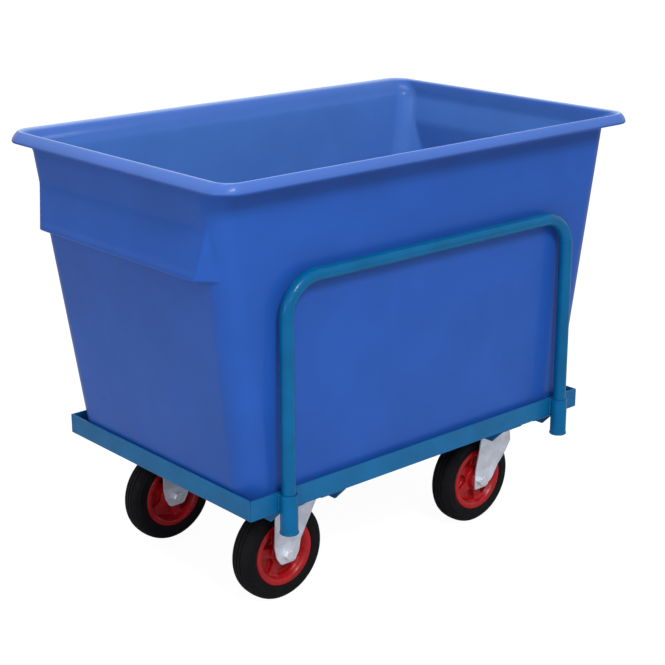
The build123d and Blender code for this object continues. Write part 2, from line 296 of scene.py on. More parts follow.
class Tree(Nodes):
    """Geometry Nodes tree with named inputs."""

    def __init__(self, name, **inputs):
        super().__init__(bpy.data.node_groups.new(name, "GeometryNodeTree"))
        self.sockets = {}
        self.new_socket("Geometry", "INPUT", "Geometry")
        for label, kind in inputs.items():
            self.new_socket(label.replace("_", " "), "INPUT", kind)
        self.new_socket("Material", "INPUT", "Material")
        self.new_socket("Geometry", "OUTPUT", "Geometry")
        self.start = self.tree.nodes.new("NodeGroupInput")
        self.end = self.tree.nodes.new("NodeGroupOutput")

    def new_socket(self, label, side, kind):
        """Add an input or output and note its identifier."""
        socket = self.tree.interface.new_socket(name=label, in_out=side, socket_type=f"NodeSocket{kind}")
        self.sockets[label] = socket.identifier

    def given(self, label):
        """Socket that brings in an input."""
        return self.start.outputs[label]

    def copies(self, points, piece):
        """Put a piece at each point."""
        return self.node("GeometryNodeInstanceOnPoints", Points=points, Instance=piece)

    def finish(self, geometry):
        """End the tree in Realize Instances and Set Material."""
        real = self.node("GeometryNodeRealizeInstances", Geometry=geometry)
        paint = self.node("GeometryNodeSetMaterial", Geometry=real.outputs[0])
        self.join(self.given("Material"), paint.inputs["Material"])
        self.join(paint.outputs[0], self.end.inputs[0])

    def use(self, piece, **values):
        """Apply the tree to a piece and return it as a plain mesh."""
        modifier = piece.modifiers.new(self.tree.name, "NODES")
        modifier.node_group = self.tree
        for label, value in values.items():
            modifier[self.sockets[label.replace("_", " ")]] = value
        return plain_mesh(piece)


def tube_tree():
    """Tree that fillets an edge path and makes a round tube along it."""
    tree = Tree("Bent tube", Tube_radius="Float", Bend_radius="Float", Bend_steps="Int")
    path = tree.node("GeometryNodeMeshToCurve", Mesh=tree.given("Geometry"))
    bend = tree.node(
        "GeometryNodeFilletCurve",
        {"mode": "POLY"},
        Curve=path.outputs[0],
        Count=tree.given("Bend steps"),
        Radius=tree.given("Bend radius"),
    )
    ring = tree.node("GeometryNodeCurvePrimitiveCircle", Resolution=40, Radius=tree.given("Tube radius"))
    tube = tree.node(
        "GeometryNodeCurveToMesh", Curve=bend.outputs[0], Profile_Curve=ring.outputs[0], Fill_Caps=True
    )
    smooth = tree.node("GeometryNodeSetShadeSmooth", Geometry=tube.outputs[0])
    tree.finish(smooth.outputs[0])
    return tree


def repeat_tree():
    """Tree that puts a piece at each point, turned by the point's own turn about Z."""
    tree = Tree("Repeated piece", Piece="Object")
    source = tree.node("GeometryNodeObjectInfo", Object=tree.given("Piece"))
    turn = tree.node("GeometryNodeInputNamedAttribute", {"data_type": "FLOAT"}, Name="turn")
    around = tree.node("ShaderNodeCombineXYZ", Z=turn.outputs["Attribute"])
    copies = tree.copies(tree.given("Geometry"), source.outputs["Geometry"])
    tree.join(around.outputs[0], copies.inputs["Rotation"])
    tree.finish(copies.outputs[0])
    return tree


def bolt_grid_tree():
    """Tree that puts a fastener at the four holes of each castor plate."""
    spacings = ("Castor_spacing_X", "Castor_spacing_Y", "Hole_spacing_X", "Hole_spacing_Y")
    tree = Tree("Castor plate fixings", Fastener="Object", **{label: "Float" for label in spacings})

    def four(what):
        return tree.node(
            "GeometryNodeMeshGrid",
            Size_X=tree.given(f"{what} spacing X"),
            Size_Y=tree.given(f"{what} spacing Y"),
            Vertices_X=2,
            Vertices_Y=2,
        ).outputs["Mesh"]

    plates, holes = four("Castor"), four("Hole")
    source = tree.node("GeometryNodeObjectInfo", Object=tree.given("Fastener"))
    one_plate = tree.copies(holes, source.outputs["Geometry"])
    all_plates = tree.copies(plates, one_plate.outputs[0])
    tree.finish(all_plates.outputs[0])
    return tree


def weld_tree():
    """Tree that lays overlapping ripples along an edge path, as a weld bead."""
    smallest, largest = 0.88, 1.05
    tree = Tree("Weld bead", Bead_radius="Float", Ripple_pitch="Float", Seed="Int")
    path = tree.node("GeometryNodeMeshToCurve", Mesh=tree.given("Geometry"))
    points = tree.node("GeometryNodeCurveToPoints", {"mode": "LENGTH"}, Curve=path.outputs[0])
    tree.join(tree.given("Ripple pitch"), points.inputs["Length"])
    ball = tree.node("GeometryNodeMeshUVSphere", Segments=10, Rings=7, Radius=tree.given("Bead radius"))
    vary = tree.node("FunctionNodeRandomValue", Seed=tree.given("Seed"))
    limits = [socket for socket in vary.inputs if socket.type == "VALUE" and socket.name in ("Min", "Max")]
    limits[0].default_value, limits[1].default_value = smallest, largest
    scale = [socket for socket in vary.outputs if socket.type == "VALUE"][0]
    copies = tree.copies(points.outputs["Points"], ball.outputs["Mesh"])
    tree.join(scale, copies.inputs["Scale"])
    real = tree.node("GeometryNodeRealizeInstances", Geometry=copies.outputs[0])
    smooth = tree.node("GeometryNodeSetShadeSmooth", Geometry=real.outputs[0])
    tree.finish(smooth.outputs[0])
    return tree


def path_object(name, runs):
    """Object whose mesh is edge paths through lists of points."""
    points, edges = [], []
    for run in runs:
        start = len(points)
        points.extend(run)
        edges.extend((start + index, start + index + 1) for index in range(len(run) - 1))
    mesh = bpy.data.meshes.new(name)
    mesh.from_pydata([tuple(point) for point in points], edges, [])
    piece = bpy.data.objects.new(name, mesh)
    bpy.context.scene.collection.objects.link(piece)
    return piece


# Finishes


class Finish(Nodes):
    """Node material for one finish."""

    def __init__(self, name):
        self.material = bpy.data.materials.new(name)
        self.material.use_nodes = True
        super().__init__(self.material.node_tree)
        self.shader = self.tree.nodes["Principled BSDF"]
        self.place = self.tree.nodes.new("ShaderNodeTexCoord").outputs["Object"]

    def noise(self, scale, detail=3.0, roughness=0.5, place=None):
        """Noise over the piece."""
        node = self.node("ShaderNodeTexNoise", Scale=scale, Detail=detail, Roughness=roughness)
        self.join(place or self.place, node.inputs["Vector"])
        return node.outputs["Fac"]

    def ramp(self, value, span=(0.0, 1.0), to=(0.0, 1.0)):
        """Map a span of a value to another, clamped."""
        node = self.node("ShaderNodeMapRange", Value=value, From_Min=span[0], From_Max=span[1])
        self.join(to[0], node.inputs["To Min"])
        self.join(to[1], node.inputs["To Max"])
        return node.outputs[0]

    def mix(self, share, first, second):
        """Mix two colours by a share."""
        node = self.tree.nodes.new("ShaderNodeMix")
        node.data_type = "RGBA"
        for value, socket in ((share, node.inputs[0]), (first, node.inputs[6]), (second, node.inputs[7])):
            self.join(value, socket)
        return node.outputs[2]

    def spread(self, value, span, colour, dark, light):
        """Colour that goes from darker to lighter over a span of a value."""
        return self.mix(self.ramp(value, span), tinted(colour, dark), tinted(colour, light))

    def attribute(self, name):
        """Value that the mesh carries under a name."""
        return self.node("ShaderNodeAttribute", {"attribute_name": name}).outputs["Fac"]

    def stretched(self, *scale):
        """Place on the piece, scaled apart on each axis."""
        return self.node("ShaderNodeMapping", Vector=self.place, Scale=scale).outputs[0]

    def bump(self, height, distance, strength=1.0, under=None):
        """Bump from a height, on top of another."""
        node = self.node("ShaderNodeBump", Height=height, Distance=distance, Strength=strength)
        if under:
            self.join(under, node.inputs["Normal"])
        return node.outputs[0]

    def grain(self, scale, distance, strength, detail=2.0, under=None):
        """Bump from a noise, on top of another."""
        return self.bump(self.noise(scale, detail), distance, strength, under)

    def dots(self, scale, above, fade):
        """Small marks where a noise is above a value."""
        return self.ramp(self.noise(scale, detail=5.0, roughness=0.65), span=(above, above + fade))

    def set(self, **values):
        """Link or set the shader's own sockets."""
        for label, value in values.items():
            self.join(value, self.shader.inputs[label.replace("_", " ")])
        return self.material


def tinted(colour, factor):
    """Colour made lighter or darker."""
    return tuple(min(1.0, channel * factor) for channel in colour[:3]) + (1.0,)


def opaque(colour):
    """Colour with full alpha."""
    return tinted(colour, 1.0)


def tub_finish(colour, inner_lit_colour):
    """Blue polyethylene: mottled, with painted light on the inner face, painted light and a painted
    highlight on the lip, and painted shade in the flare.
    """
    finish = Finish("tub_polyethylene")
    # Pale colour painted on the lip as light from above, and along the crest as a painted highlight
    painted_lip_light_colour = (0.42, 0.56, 0.78, 1.0)
    # Painted light: the inner face gets a paler colour that stands in for light coming through the
    # translucent wall
    skin_colour = finish.mix(finish.attribute("inner"), opaque(colour), opaque(inner_lit_colour))
    mottle = finish.ramp(finish.noise(scale=7.0), span=(0.35, 0.65), to=(0.95, 1.05))
    scaled = finish.node("ShaderNodeVectorMath", {"operation": "SCALE"}, Vector=skin_colour, Scale=mottle)
    streaks = finish.noise(scale=1.0, detail=5.0, roughness=0.6, place=finish.stretched(60.0, 60.0, 3.0))
    streaks = finish.ramp(streaks, span=(0.60, 0.78), to=(0.0, 0.22))
    shade = finish.mix(streaks, scaled.outputs[0], tinted(colour, 1.30))
    specks = finish.ramp(finish.dots(scale=420.0, above=0.67, fade=0.05), to=(0.0, 0.22))
    shade = finish.mix(specks, shade, tinted(colour, 1.5))
    # Painted light: the lip face is made paler and the crest gets a painted highlight line
    lip_light_share = finish.ramp(finish.attribute("painted_lip_light"), to=(0.0, 0.68))
    shade = finish.mix(lip_light_share, shade, painted_lip_light_colour)
    # Painted shade: the flare under the crest is darkened towards the tub colour at 0.45
    flare_shade_share = finish.ramp(finish.attribute("painted_flare_shade"), to=(0.0, 0.40))
    shade = finish.mix(flare_shade_share, shade, tinted(colour, 0.45))
    waves = finish.grain(scale=4.2, distance=0.004, strength=0.7)
    gloss = finish.noise(scale=38.0, detail=4.0, roughness=0.6)
    return finish.set(
        Base_Color=shade,
        Roughness=finish.ramp(gloss, span=(0.3, 0.7), to=(0.30, 0.40)),
        Normal=finish.grain(scale=1100.0, distance=0.0002, strength=0.25, under=waves),
        Specular_IOR_Level=0.13,
        Coat_Weight=0.12,
        Coat_Roughness=0.10,
    )


def paint_finish(name, colour, gloss, shine):
    """Stove enamel over steel, with orange peel, dust and a few nicks."""
    finish = Finish(name)
    bare_steel = (0.30, 0.32, 0.34, 1.0)
    shade = finish.spread(finish.noise(scale=16.0), span=(0.35, 0.65), colour=colour, dark=0.90, light=1.08)
    dust = finish.noise(scale=90.0, detail=6.0, roughness=0.7)
    shade = finish.mix(finish.ramp(dust, span=(0.56, 0.80), to=(0.0, 0.30)), shade, tinted(colour, 1.5))
    shade = finish.mix(finish.dots(scale=310.0, above=0.735, fade=0.015), shade, bare_steel)
    waves = finish.grain(scale=45.0, distance=0.0008, strength=0.5, detail=3.0)
    return finish.set(
        Base_Color=shade,
        Roughness=finish.ramp(finish.noise(scale=60.0, detail=4.0), span=(0.3, 0.7), to=gloss),
        Normal=finish.grain(scale=650.0, distance=0.0002, strength=0.35, under=waves),
        Specular_IOR_Level=shine,
    )


def zinc_finish(name, colour, gloss):
    """Bright zinc plate: cloudy spangle with fine drawing lines."""
    finish = Finish(name)
    cells = finish.node("ShaderNodeTexVoronoi", Vector=finish.place, Scale=120.0).outputs["Color"]
    grey = finish.node("ShaderNodeRGBToBW", Color=cells).outputs[0]
    cloud = finish.noise(scale=35.0, detail=4.0, roughness=0.6)
    shade = finish.spread(cloud, span=(0.3, 0.7), colour=colour, dark=0.82, light=1.08)
    shade = finish.mix(finish.ramp(grey, span=(0.2, 0.8), to=(0.0, 0.22)), shade, tinted(colour, 0.7))
    drawn = finish.noise(scale=1.0, place=finish.stretched(40.0, 40.0, 900.0))
    return finish.set(
        Base_Color=shade,
        Metallic=0.75,
        Roughness=finish.ramp(cloud, span=(0.3, 0.7), to=gloss),
        Normal=finish.bump(drawn, distance=0.0001, strength=0.3),
    )


def rubber_finish(colour):
    """Black rubber with fine turned lines and a bloom of dust."""
    finish = Finish("tyre_rubber")
    grit_colour = (0.04, 0.039, 0.037, 1.0)
    angle_per_unit = 420.0
    turned = finish.node("ShaderNodeUVMap", {"uv_map": "turned"}).outputs[0]
    along = finish.node("ShaderNodeSeparateXYZ", Vector=turned).outputs["Y"]
    lines = finish.math("SINE", finish.math("MULTIPLY", along, angle_per_unit))
    bloom = finish.noise(scale=55.0, detail=5.0, roughness=0.65)
    bloom = finish.ramp(bloom, span=(0.42, 0.75), to=(0.0, 0.45))
    shade = finish.mix(bloom, opaque(colour), tinted(colour, 2.6))
    grit = finish.ramp(finish.dots(scale=380.0, above=0.68, fade=0.04), to=(0.0, 0.4))
    lines = finish.bump(lines, distance=0.00012, strength=0.5)
    return finish.set(
        Base_Color=finish.mix(grit, shade, grit_colour),
        Roughness=finish.ramp(finish.noise(scale=70.0, detail=4.0), span=(0.3, 0.7), to=(0.52, 0.72)),
        Normal=finish.grain(scale=700.0, distance=0.0003, strength=0.4, under=lines),
        Specular_IOR_Level=0.09,
    )


def hub_finish(colour):
    """Red moulded centre: semi-gloss with flow marks and dust."""
    finish = Finish("hub_moulding")
    dust_colour = (0.32, 0.10, 0.09, 1.0)
    flow = finish.noise(scale=40.0, detail=4.0, roughness=0.6)
    shade = finish.spread(flow, span=(0.3, 0.7), colour=colour, dark=0.82, light=1.12)
    dust = finish.noise(scale=160.0, detail=5.0, roughness=0.7)
    dust = finish.ramp(dust, span=(0.58, 0.8), to=(0.0, 0.16))
    waves = finish.grain(scale=60.0, distance=0.0006, strength=0.4)
    return finish.set(
        Base_Color=finish.mix(dust, shade, dust_colour),
        Roughness=finish.ramp(finish.noise(scale=80.0, detail=4.0), span=(0.3, 0.7), to=(0.24, 0.38)),
        Normal=finish.grain(scale=900.0, distance=0.0002, strength=0.25, under=waves),
        Specular_IOR_Level=0.25,
        Coat_Weight=0.12,
        Coat_Roughness=0.1,
    )


def finishes():
    """Materials by slot, made once."""
    colours = bpy.context.scene.truck_finishes
    if "tub_polyethylene" not in bpy.data.materials:
        tub_finish(colours.tub, colours.tub_inside_lit)
        paint_finish("tray_enamel", colours.tray, gloss=(0.36, 0.48), shine=0.20)
        paint_finish("hoop_enamel", colours.hoop, gloss=(0.14, 0.22), shine=0.14)
        zinc_finish("pressing_zinc", colours.pressing, gloss=(0.42, 0.56))
        zinc_finish("fastener_zinc", colours.fasteners, gloss=(0.22, 0.34))
        rubber_finish(colours.tyre)
        hub_finish(colours.hub)
    names = {
        "tub_plastic": "tub_polyethylene",
        "frame_paint": "tray_enamel",
        "hoop_paint": "hoop_enamel",
        "zinc_pressing": "pressing_zinc",
        "bright_zinc": "fastener_zinc",
        "bearing_steel": "fastener_zinc",
        "red_plastic": "hub_moulding",
        "black_rubber": "tyre_rubber",
    }
    return {slot: bpy.data.materials[name] for slot, name in names.items()}


# Settings


def length(name, default, description):
    """Property for a length in metres."""
    return bpy.props.FloatProperty(
        name=name, description=description, default=default, min=0.0, unit="LENGTH", subtype="DISTANCE"
    )


def shade(name, default, description):
    """Property for a colour."""
    return bpy.props.FloatVectorProperty(
        name=name, description=description, default=default, size=3, min=0.0, max=1.0, subtype="COLOR"
    )


TUB_LOW, TUB_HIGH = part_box("tub")
RAIL_LOW, RAIL_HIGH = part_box("rail_near")
SOCKETS = [node for node in frame["nodes"] if node.startswith("hoop_socket_")]


class TubSizes(bpy.types.PropertyGroup):
    """Sizes of the tub"""

    wall: length("Wall", 0.0055, "Thickness of the moulded wall")
    base_length: length("Base length", 0.877, "Outer length at the base")
    base_width: length("Base width", 0.572, "Outer width at the base")
    mouth_length: length("Mouth length", 1.040, "Outer length at the top of the walls")
    mouth_width: length("Mouth width", 0.608, "Outer width at the top of the walls")
    corner: length("Corner", 0.042, "Radius of the upright corners at the mouth")
    base_corner: length("Base corner", 0.058, "Radius of the upright corners at the base")
    lip_corner: length("Lip corner", 0.052, "Radius of the lip's corners in plan")
    lip_fall: length("Lip fall", 0.018, "Fall of the lip's outer face from its crest to its nose")
    crest_length: length("Crest length", 1.036, "Length of the lip's crest line")
    crest_width: length("Crest width", 0.684, "Width of the lip's crest line")
    crest_corner: length("Crest corner", 0.034, "Radius of the crest line's corners")
    flare: length("Flare", 0.040, "Height over which the inner wall flares out to the crest")
    base_round: length("Base round", 0.022, "Radius round the foot of the walls")
    foot: length("Foot", 0.034, "Width of the standing rim round the raised base panel")
    panel_rise: length("Panel rise", 0.012, "Height of the raised base panel")
    pull_low: length("Pull ledge", 0.184, "Depth of the end pull's ledge below the crest")
    pull_high: length("Pull top", 0.094, "Depth of the end pull's top below the crest")
    pull_reach: length("Pull reach", 0.525, "Distance of the pull's lower edge from the middle")
    pull_front: length("Pull front", 0.251, "Half width of the pull's face at its lower edge")
    pull_top: length("Pull top width", 0.270, "Half width of the pull where it starts")
    pull_root: length("Pull root", 0.278, "Half width of the pull where it meets the wall")


class TraySizes(bpy.types.PropertyGroup):
    """Sizes of the angle iron tray"""

    leg: length("Leg", RAIL_HIGH[2] - RAIL_LOW[2], "Leg of the rail's angle iron")
    thickness: length("Thickness", 0.004, "Thickness of the angle iron")
    root: length("Root radius", 0.004, "Radius inside the angle")
    edge: length("Edge radius", 0.0008, "Rounding of the rolled edges")
    flange: length("Cross flange", 0.060, "Flange of the cross members")
    depth: length("Cross depth", 0.030, "Depth of the cross members")


class HoopSizes(bpy.types.PropertyGroup):
    """Sizes of the push hoops and their sockets"""

    tube: length("Tube radius", 0.01345, "Radius of the hoop tube")
    bend: length("Bend radius", 0.070, "Centreline radius of the bends")
    crease: length("Crease depth", 0.0005, "Depth of the pinch marks inside each bend")
    weld: length("Weld radius", 0.0028, "Radius of the weld beads beside the sockets")
    ripple: length("Weld ripple", 0.0016, "Distance between the ripples of the weld beads")


class CastorSizes(bpy.types.PropertyGroup):
    """Sizes of the castor pressings"""

    sheet: length("Sheet", 0.0035, "Thickness of the pressed sheet")
    bend: length("Bend", 0.007, "Radius of the sheet's bends")
    edge: length("Edge", 0.0007, "Rounding of the sheared edges")
    leg: length("Leg", 0.0345, "Distance of the legs' outer faces from the wheel's middle plane")
    splay: length("Splay level", 0.124, "Level where the legs start to splay")
    foot_half: length("Foot half", 0.018, "Half length of the legs' lower ends")
    foot_flat: length("Foot flat", 0.0135, "Half length of the straight part of the legs' lower edges")
    foot_corner: length("Foot corner", 0.008, "Radius of the legs' lower corners")
    bracket_width: length("Bracket width", 0.070, "Half width of the fixed bracket before its bends")
    bracket_axle: length("Bracket at axle", 0.028, "Half length of the bracket's legs at the axle")
    trail: length("Trail", 0.051, "Distance of the swivel castor's axle behind its king pin")
    crown_width: length("Crown width", 0.046, "Half width of the fork's crown before its bends")
    crown_front: length("Crown front", 0.043, "Reach of the crown before the king pin")
    crown_back: length("Crown back", 0.062, "Reach of the crown behind the king pin")
    crown_corner: length("Crown corner", 0.026, "Radius of the crown's front corners")
    hole_x: length("Hole spacing X", 0.080, "Spacing of the plate's holes along the truck")
    hole_y: length("Hole spacing Y", 0.105, "Spacing of the plate's holes across the truck")


class WheelSizes(bpy.types.PropertyGroup):
    """Sizes of the wheels"""

    radius: length("Radius", 0.100, "Outer radius of the tyre")
    tyre_width: length("Tyre width", 0.050, "Width of the tyre")
    rim: length("Rim radius", 0.068, "Radius of the red centre")
    arms: bpy.props.IntProperty(name="Arms", description="Number of arms in the centre", default=5, min=3)
    arm_width: length("Arm width", 0.020, "Width of each arm")


class FinishColours(bpy.types.PropertyGroup):
    """Colours of the finishes"""

    tub: shade("Tub", (0.016, 0.086, 0.400), "Polyethylene tub")
    # Painted light: this paler blue on the inside stands in for light coming through the translucent wall
    tub_inside_lit: shade("Tub inside", (0.062, 0.170, 0.490), "Inner face of the tub, which no mould polished")
    tray: shade("Tray", (0.003, 0.116, 0.292), "Painted tray")
    hoop: shade("Hoop", (0.0, 0.106, 0.268), "Painted push hoops")
    pressing: shade("Pressings", (0.70, 0.73, 0.82), "Zinc plated castor pressings")
    fasteners: shade("Fasteners", (0.78, 0.80, 0.84), "Zinc plated bolts and nuts")
    tyre: shade("Tyre", (0.004, 0.004, 0.005), "Rubber")
    hub: shade("Wheel centre", (0.36, 0.004, 0.007), "Red moulding")
    floor: shade("Floor", (0.60, 0.60, 0.60), "Studio floor")


class StageSettings(bpy.types.PropertyGroup):
    """Camera and light of the studio"""

    azimuth: bpy.props.FloatProperty(
        name="Azimuth", description="Turn of the camera round the truck", default=math.radians(-41.15),
        subtype="ANGLE",
    )
    elevation: bpy.props.FloatProperty(
        name="Elevation", description="Height of the camera as an angle", default=math.radians(17.86),
        subtype="ANGLE",
    )
    roll: bpy.props.FloatProperty(
        name="Roll", description="Tilt of the picture", default=math.radians(-0.26), subtype="ANGLE"
    )
    distance: length("Distance", 3.19115, "Distance of the camera from its target")
    target: bpy.props.FloatVectorProperty(
        name="Target", description="Point that the camera looks at", default=(0.00275, 0.0, 0.43163),
        size=3, subtype="XYZ", unit="LENGTH",
    )
    lens: bpy.props.FloatProperty(
        name="Lens", description="Focal length in millimetres", default=82.476, min=10.0
    )
    sensor: bpy.props.FloatProperty(
        name="Sensor", description="Width of the sensor in millimetres", default=36.0, min=1.0
    )
    shift_x: bpy.props.FloatProperty(
        name="Shift X", description="Shift to the side, as a share of the picture's width", default=0.0046
    )
    shift_y: bpy.props.FloatProperty(
        name="Shift Y", description="Shift upwards, as a share of the picture's width", default=0.0024
    )
    ambient: bpy.props.FloatProperty(
        name="Ambient", description="Strength of the plain surrounding light", default=0.52, min=0.0
    )
    floor: length("Floor", 60.0, "Length of the floor's sides")


# Tub


def end_reach(sizes, y, front, inset):
    """Distance along X of the end pull's skin at a place across it."""
    rounding, fall_off = 0.003, 4
    half_front, face = front["half"] - inset, front["reach"] - inset
    side_half, root = sizes.pull_root - inset, front["root"] - inset
    slope = (face - root) / (side_half - half_front)
    side = face - (abs(y) - half_front) * slope
    beyond = max(0.0, abs(y) - side_half)
    return soft_min(face, side, rounding) - fall_off * beyond


def tub_outline(sizes, half_length, half_width, corner, level, front=None, inset=0.0):
    """Ring of points round the tub at a level, with the end pulls where front says."""
    ring = []
    straight_y, straight_x = half_width - corner, half_length - corner
    corner_steps, end_steps, side_steps = 36, 26, 18
    rounding = 0.0015

    def pushed(x, y):
        if front is None or abs(x) <= straight_x:
            return (x, y, level)
        reach = soft_max(abs(x), end_reach(sizes, y, front, inset), rounding)
        return (math.copysign(reach, x), y, level)

    for quarter in range(4):
        sign_x = 1 if quarter in (0, 3) else -1
        sign_y = 1 if quarter in (0, 1) else -1
        for step in range(corner_steps):
            angle = math.pi / 2 * (quarter + step / corner_steps)
            x = sign_x * straight_x + corner * math.cos(angle)
            y = sign_y * straight_y + corner * math.sin(angle)
            ring.append(pushed(x, y))
        if quarter in (0, 2):
            for step in range(side_steps):
                share = 1 - 2 * step / side_steps
                sign = 1 if quarter == 0 else -1
                ring.append((sign * straight_x * share, sign * half_width, level))
        else:
            for step in range(end_steps):
                share = math.sin(math.pi / 2 * (1 - 2 * step / end_steps))
                sign = 1 if quarter == 1 else -1
                ring.append(pushed(-sign * half_length, sign * straight_y * share))
    return ring


def lip_drop(share):
    """Fall of the lip's outer face from its crest at 0 to its nose at 1, as a share of the whole fall."""
    crest, slope = 0.3, 0.55
    start = slope * share**2 / (2 * crest) if share < crest else slope * (share - crest / 2)
    nose = 1 - slope * (1 - crest / 2)
    return start + nose * (1 - math.sqrt(max(0.0, 1 - share**2)))


def quarter_turn(steps, first=0):
    """Even steps round a quarter turn: shares of its radius gained one way and left the other way."""
    for step in range(first, steps + 1):
        angle = math.pi / 2 * step / steps
        yield 1 - math.cos(angle), 1 - math.sin(angle)


def base_rings(sizes, level, foot):
    """Levels and insets of the standing rim and the raised panel inside it, from the rim inwards."""
    slope = 0.008
    bend = ((0.0, -0.004), (0.0006, -0.001), (0.003, 0.001))
    rim = [(level + up, foot + inwards) for up, inwards in bend]
    top, inner = level + sizes.panel_rise, foot + slope
    return rim + [(top - up, inner - inwards) for up, inwards in reversed(bend)]


def lip_marks(piece, rows, crest_row, face_rows, flare_rows):
    """Mark which rows of the tub's points are inside, where painted shade lies in the flare and where
    painted light lies on the lip.
    """
    # Painted light on the lip face, and a painted highlight that fades out on either side of the crest row
    face_light_share, crest_spread = 0.14, 1.15
    marks = {"inner": [], "painted_flare_shade": [], "painted_lip_light": []}
    row_points = len(piece.data.vertices) // rows
    for row in range(rows):
        past_crest = row - crest_row
        inside = min(1.0, max(0.0, past_crest / flare_rows))
        on_face = face_light_share if -face_rows < past_crest <= 0 else 0.0
        painted_lip_light = max(on_face, math.exp(-((past_crest / crest_spread) ** 2)))
        # The second value is painted shade in the flare; the third is painted light on the lip face and a
        # painted highlight along the crest
        for name, value in zip(marks, (inside, math.sin(math.pi * inside), painted_lip_light)):
            marks[name] += [value] * row_points
    for name, values in marks.items():
        attribute = piece.data.attributes.new(name, "FLOAT", "POINT")
        attribute.data.foreach_set("value", values)


def tub_piece(sizes):
    """Skin of the moulded tub as one closed loft from under the base over the lip to the floor."""
    base, top = TUB_LOW[2], TUB_HIGH[2]
    height = top - base
    wall = sizes.wall
    rings = []

    def walls(level):
        share = (level - base) / height
        half_length = (sizes.base_length + (sizes.mouth_length - sizes.base_length) * share) / 2
        half_width = (sizes.base_width + (sizes.mouth_width - sizes.base_width) * share) / 2
        corner = sizes.base_corner + (sizes.corner - sizes.base_corner) * share
        return half_length, half_width, corner

    low, high = top - sizes.pull_low, top - sizes.pull_high

    def front_at(level, back=0.0):
        share = (level - low) / (high - low)
        flush = walls(high)[0]
        reach = sizes.pull_reach + (flush - sizes.pull_reach) * share - back
        half = sizes.pull_front + (sizes.pull_top - sizes.pull_front) * min(1.0, share) - back
        return {"reach": reach, "half": half, "root": walls(low)[0] - wall}

    def plan_ring(level, half_length, half_width, corner):
        rings.append(tub_outline(sizes, half_length, half_width, corner, level))

    def ring(level, grow=0.0, front=None, inset=0.0):
        half_length, half_width, corner = (size + grow for size in walls(level))
        rings.append(tub_outline(sizes, half_length, half_width, corner, level, front, inset))

    def panel_ring(level, inset):
        plan_ring(level, sizes.base_length / 2 - inset, sizes.base_width / 2 - inset, sizes.corner)

    # Rows of the walls and the pulls: shares of a height, or falls below the ledge and how far set back
    outer_shares = (0.12, 0.25, 0.38, 0.5, 0.62, 0.74, 0.86, 0.95)
    inner_shares = (0.95, 0.8, 0.6, 0.4, 0.2, 0.06)
    below_ledge, below_inner_ledge = (0.006, 0.0022), (0.0022, 0.008)
    ledge_rows = ((0.0010, 0.022), (0.0004, 0.014), (0.0, 0.005))
    inner_ledge_rows = ((-0.002, 0.0), (0.0, 0.003), (0.0006, 0.014))
    ledge_edge = 0.004
    pull_shares = (0.25, 0.4, 0.55, 0.7, 0.82, 0.92, 1.0, 1.08, 1.16)
    pull_start, inner_pull_start = 0.12, 0.14
    above_pull = high + 0.022
    below_flare = top - sizes.flare - 0.008

    # Underside
    for level, inset in reversed(base_rings(sizes, base, sizes.foot)):
        panel_ring(level, inset)

    # Outer wall
    turn = sizes.base_round
    for gained, left in quarter_turn(8):
        ring(base + turn * gained, -turn * left)
    for share in outer_shares:
        ring(base + turn + (low - base - turn) * share)
    for fall in below_ledge:
        ring(low - fall)
    for fall, back in ledge_rows:
        ring(low - fall, front=front_at(low, back))
    for gained, left in quarter_turn(5, first=1):
        ring(low + ledge_edge * gained, front=front_at(low, ledge_edge * left))
    for share in (pull_start, *pull_shares):
        level = low + (high - low) * share
        ring(level, front=front_at(level))
    ring(above_pull)
    ring(below_flare)

    # Lip
    crest = (sizes.crest_length / 2, sizes.crest_width / 2, sizes.crest_corner)
    nose = (TUB_HIGH[0], TUB_HIGH[1], sizes.lip_corner)
    start = [size - wall for size in walls(top - sizes.flare)]
    crest_angle = math.radians(50)

    def flare_place(share):
        angle = crest_angle * share
        out = (1 - math.cos(angle)) / (1 - math.cos(crest_angle))
        rise = math.sin(angle) / math.sin(crest_angle)
        place = [first + (last - first) * out for first, last in zip(start, crest)]
        return top - sizes.flare * (1 - rise), place

    def flare_lean(share):
        angle = crest_angle * share
        run = (crest[1] - start[1]) * math.sin(angle) / (1 - math.cos(crest_angle))
        return math.atan2(run, sizes.flare * math.cos(angle) / math.sin(crest_angle))

    def face_place(share):
        place = [first + (last - first) * share for first, last in zip(crest, nose)]
        return top - sizes.lip_fall * lip_drop(share), place

    under_rows = 8
    for step in range(under_rows + 1):
        level, place = flare_place(step / under_rows)
        lean = flare_lean(step / under_rows)
        thick = wall * math.cos(lean)
        plan_ring(level - wall * math.sin(lean), place[0] + wall, place[1] + thick, place[2] + thick)
    under_face = ((0.55, 0.8, 0.0020), (0.8, 0.9, 0.0010), (1.0, 1.0, 0.0))
    for share, back, down in under_face:
        level, place = face_place(share)
        plan_ring(level - down, *(size - wall * back for size in place))
    edge = wall / 2
    hem = top - sizes.lip_fall
    hem_rows = 6
    for step in range(1, hem_rows + 1):
        angle = math.pi * step / hem_rows
        out = edge * (1 - math.cos(angle)) - wall
        plan_ring(hem - edge * math.sin(angle), *(size + out for size in nose))
    face_shares = (0.985, 0.95, 0.88, 0.78, 0.66, 0.53, 0.4, 0.3, 0.2, 0.1, 0.0)
    for share in face_shares:
        level, place = face_place(share)
        plan_ring(level, *place)
    crest_row = len(rings) - 1
    flare_rows = 12
    for step in reversed(range(flare_rows)):
        level, place = flare_place(step / flare_rows)
        plan_ring(level, *place)

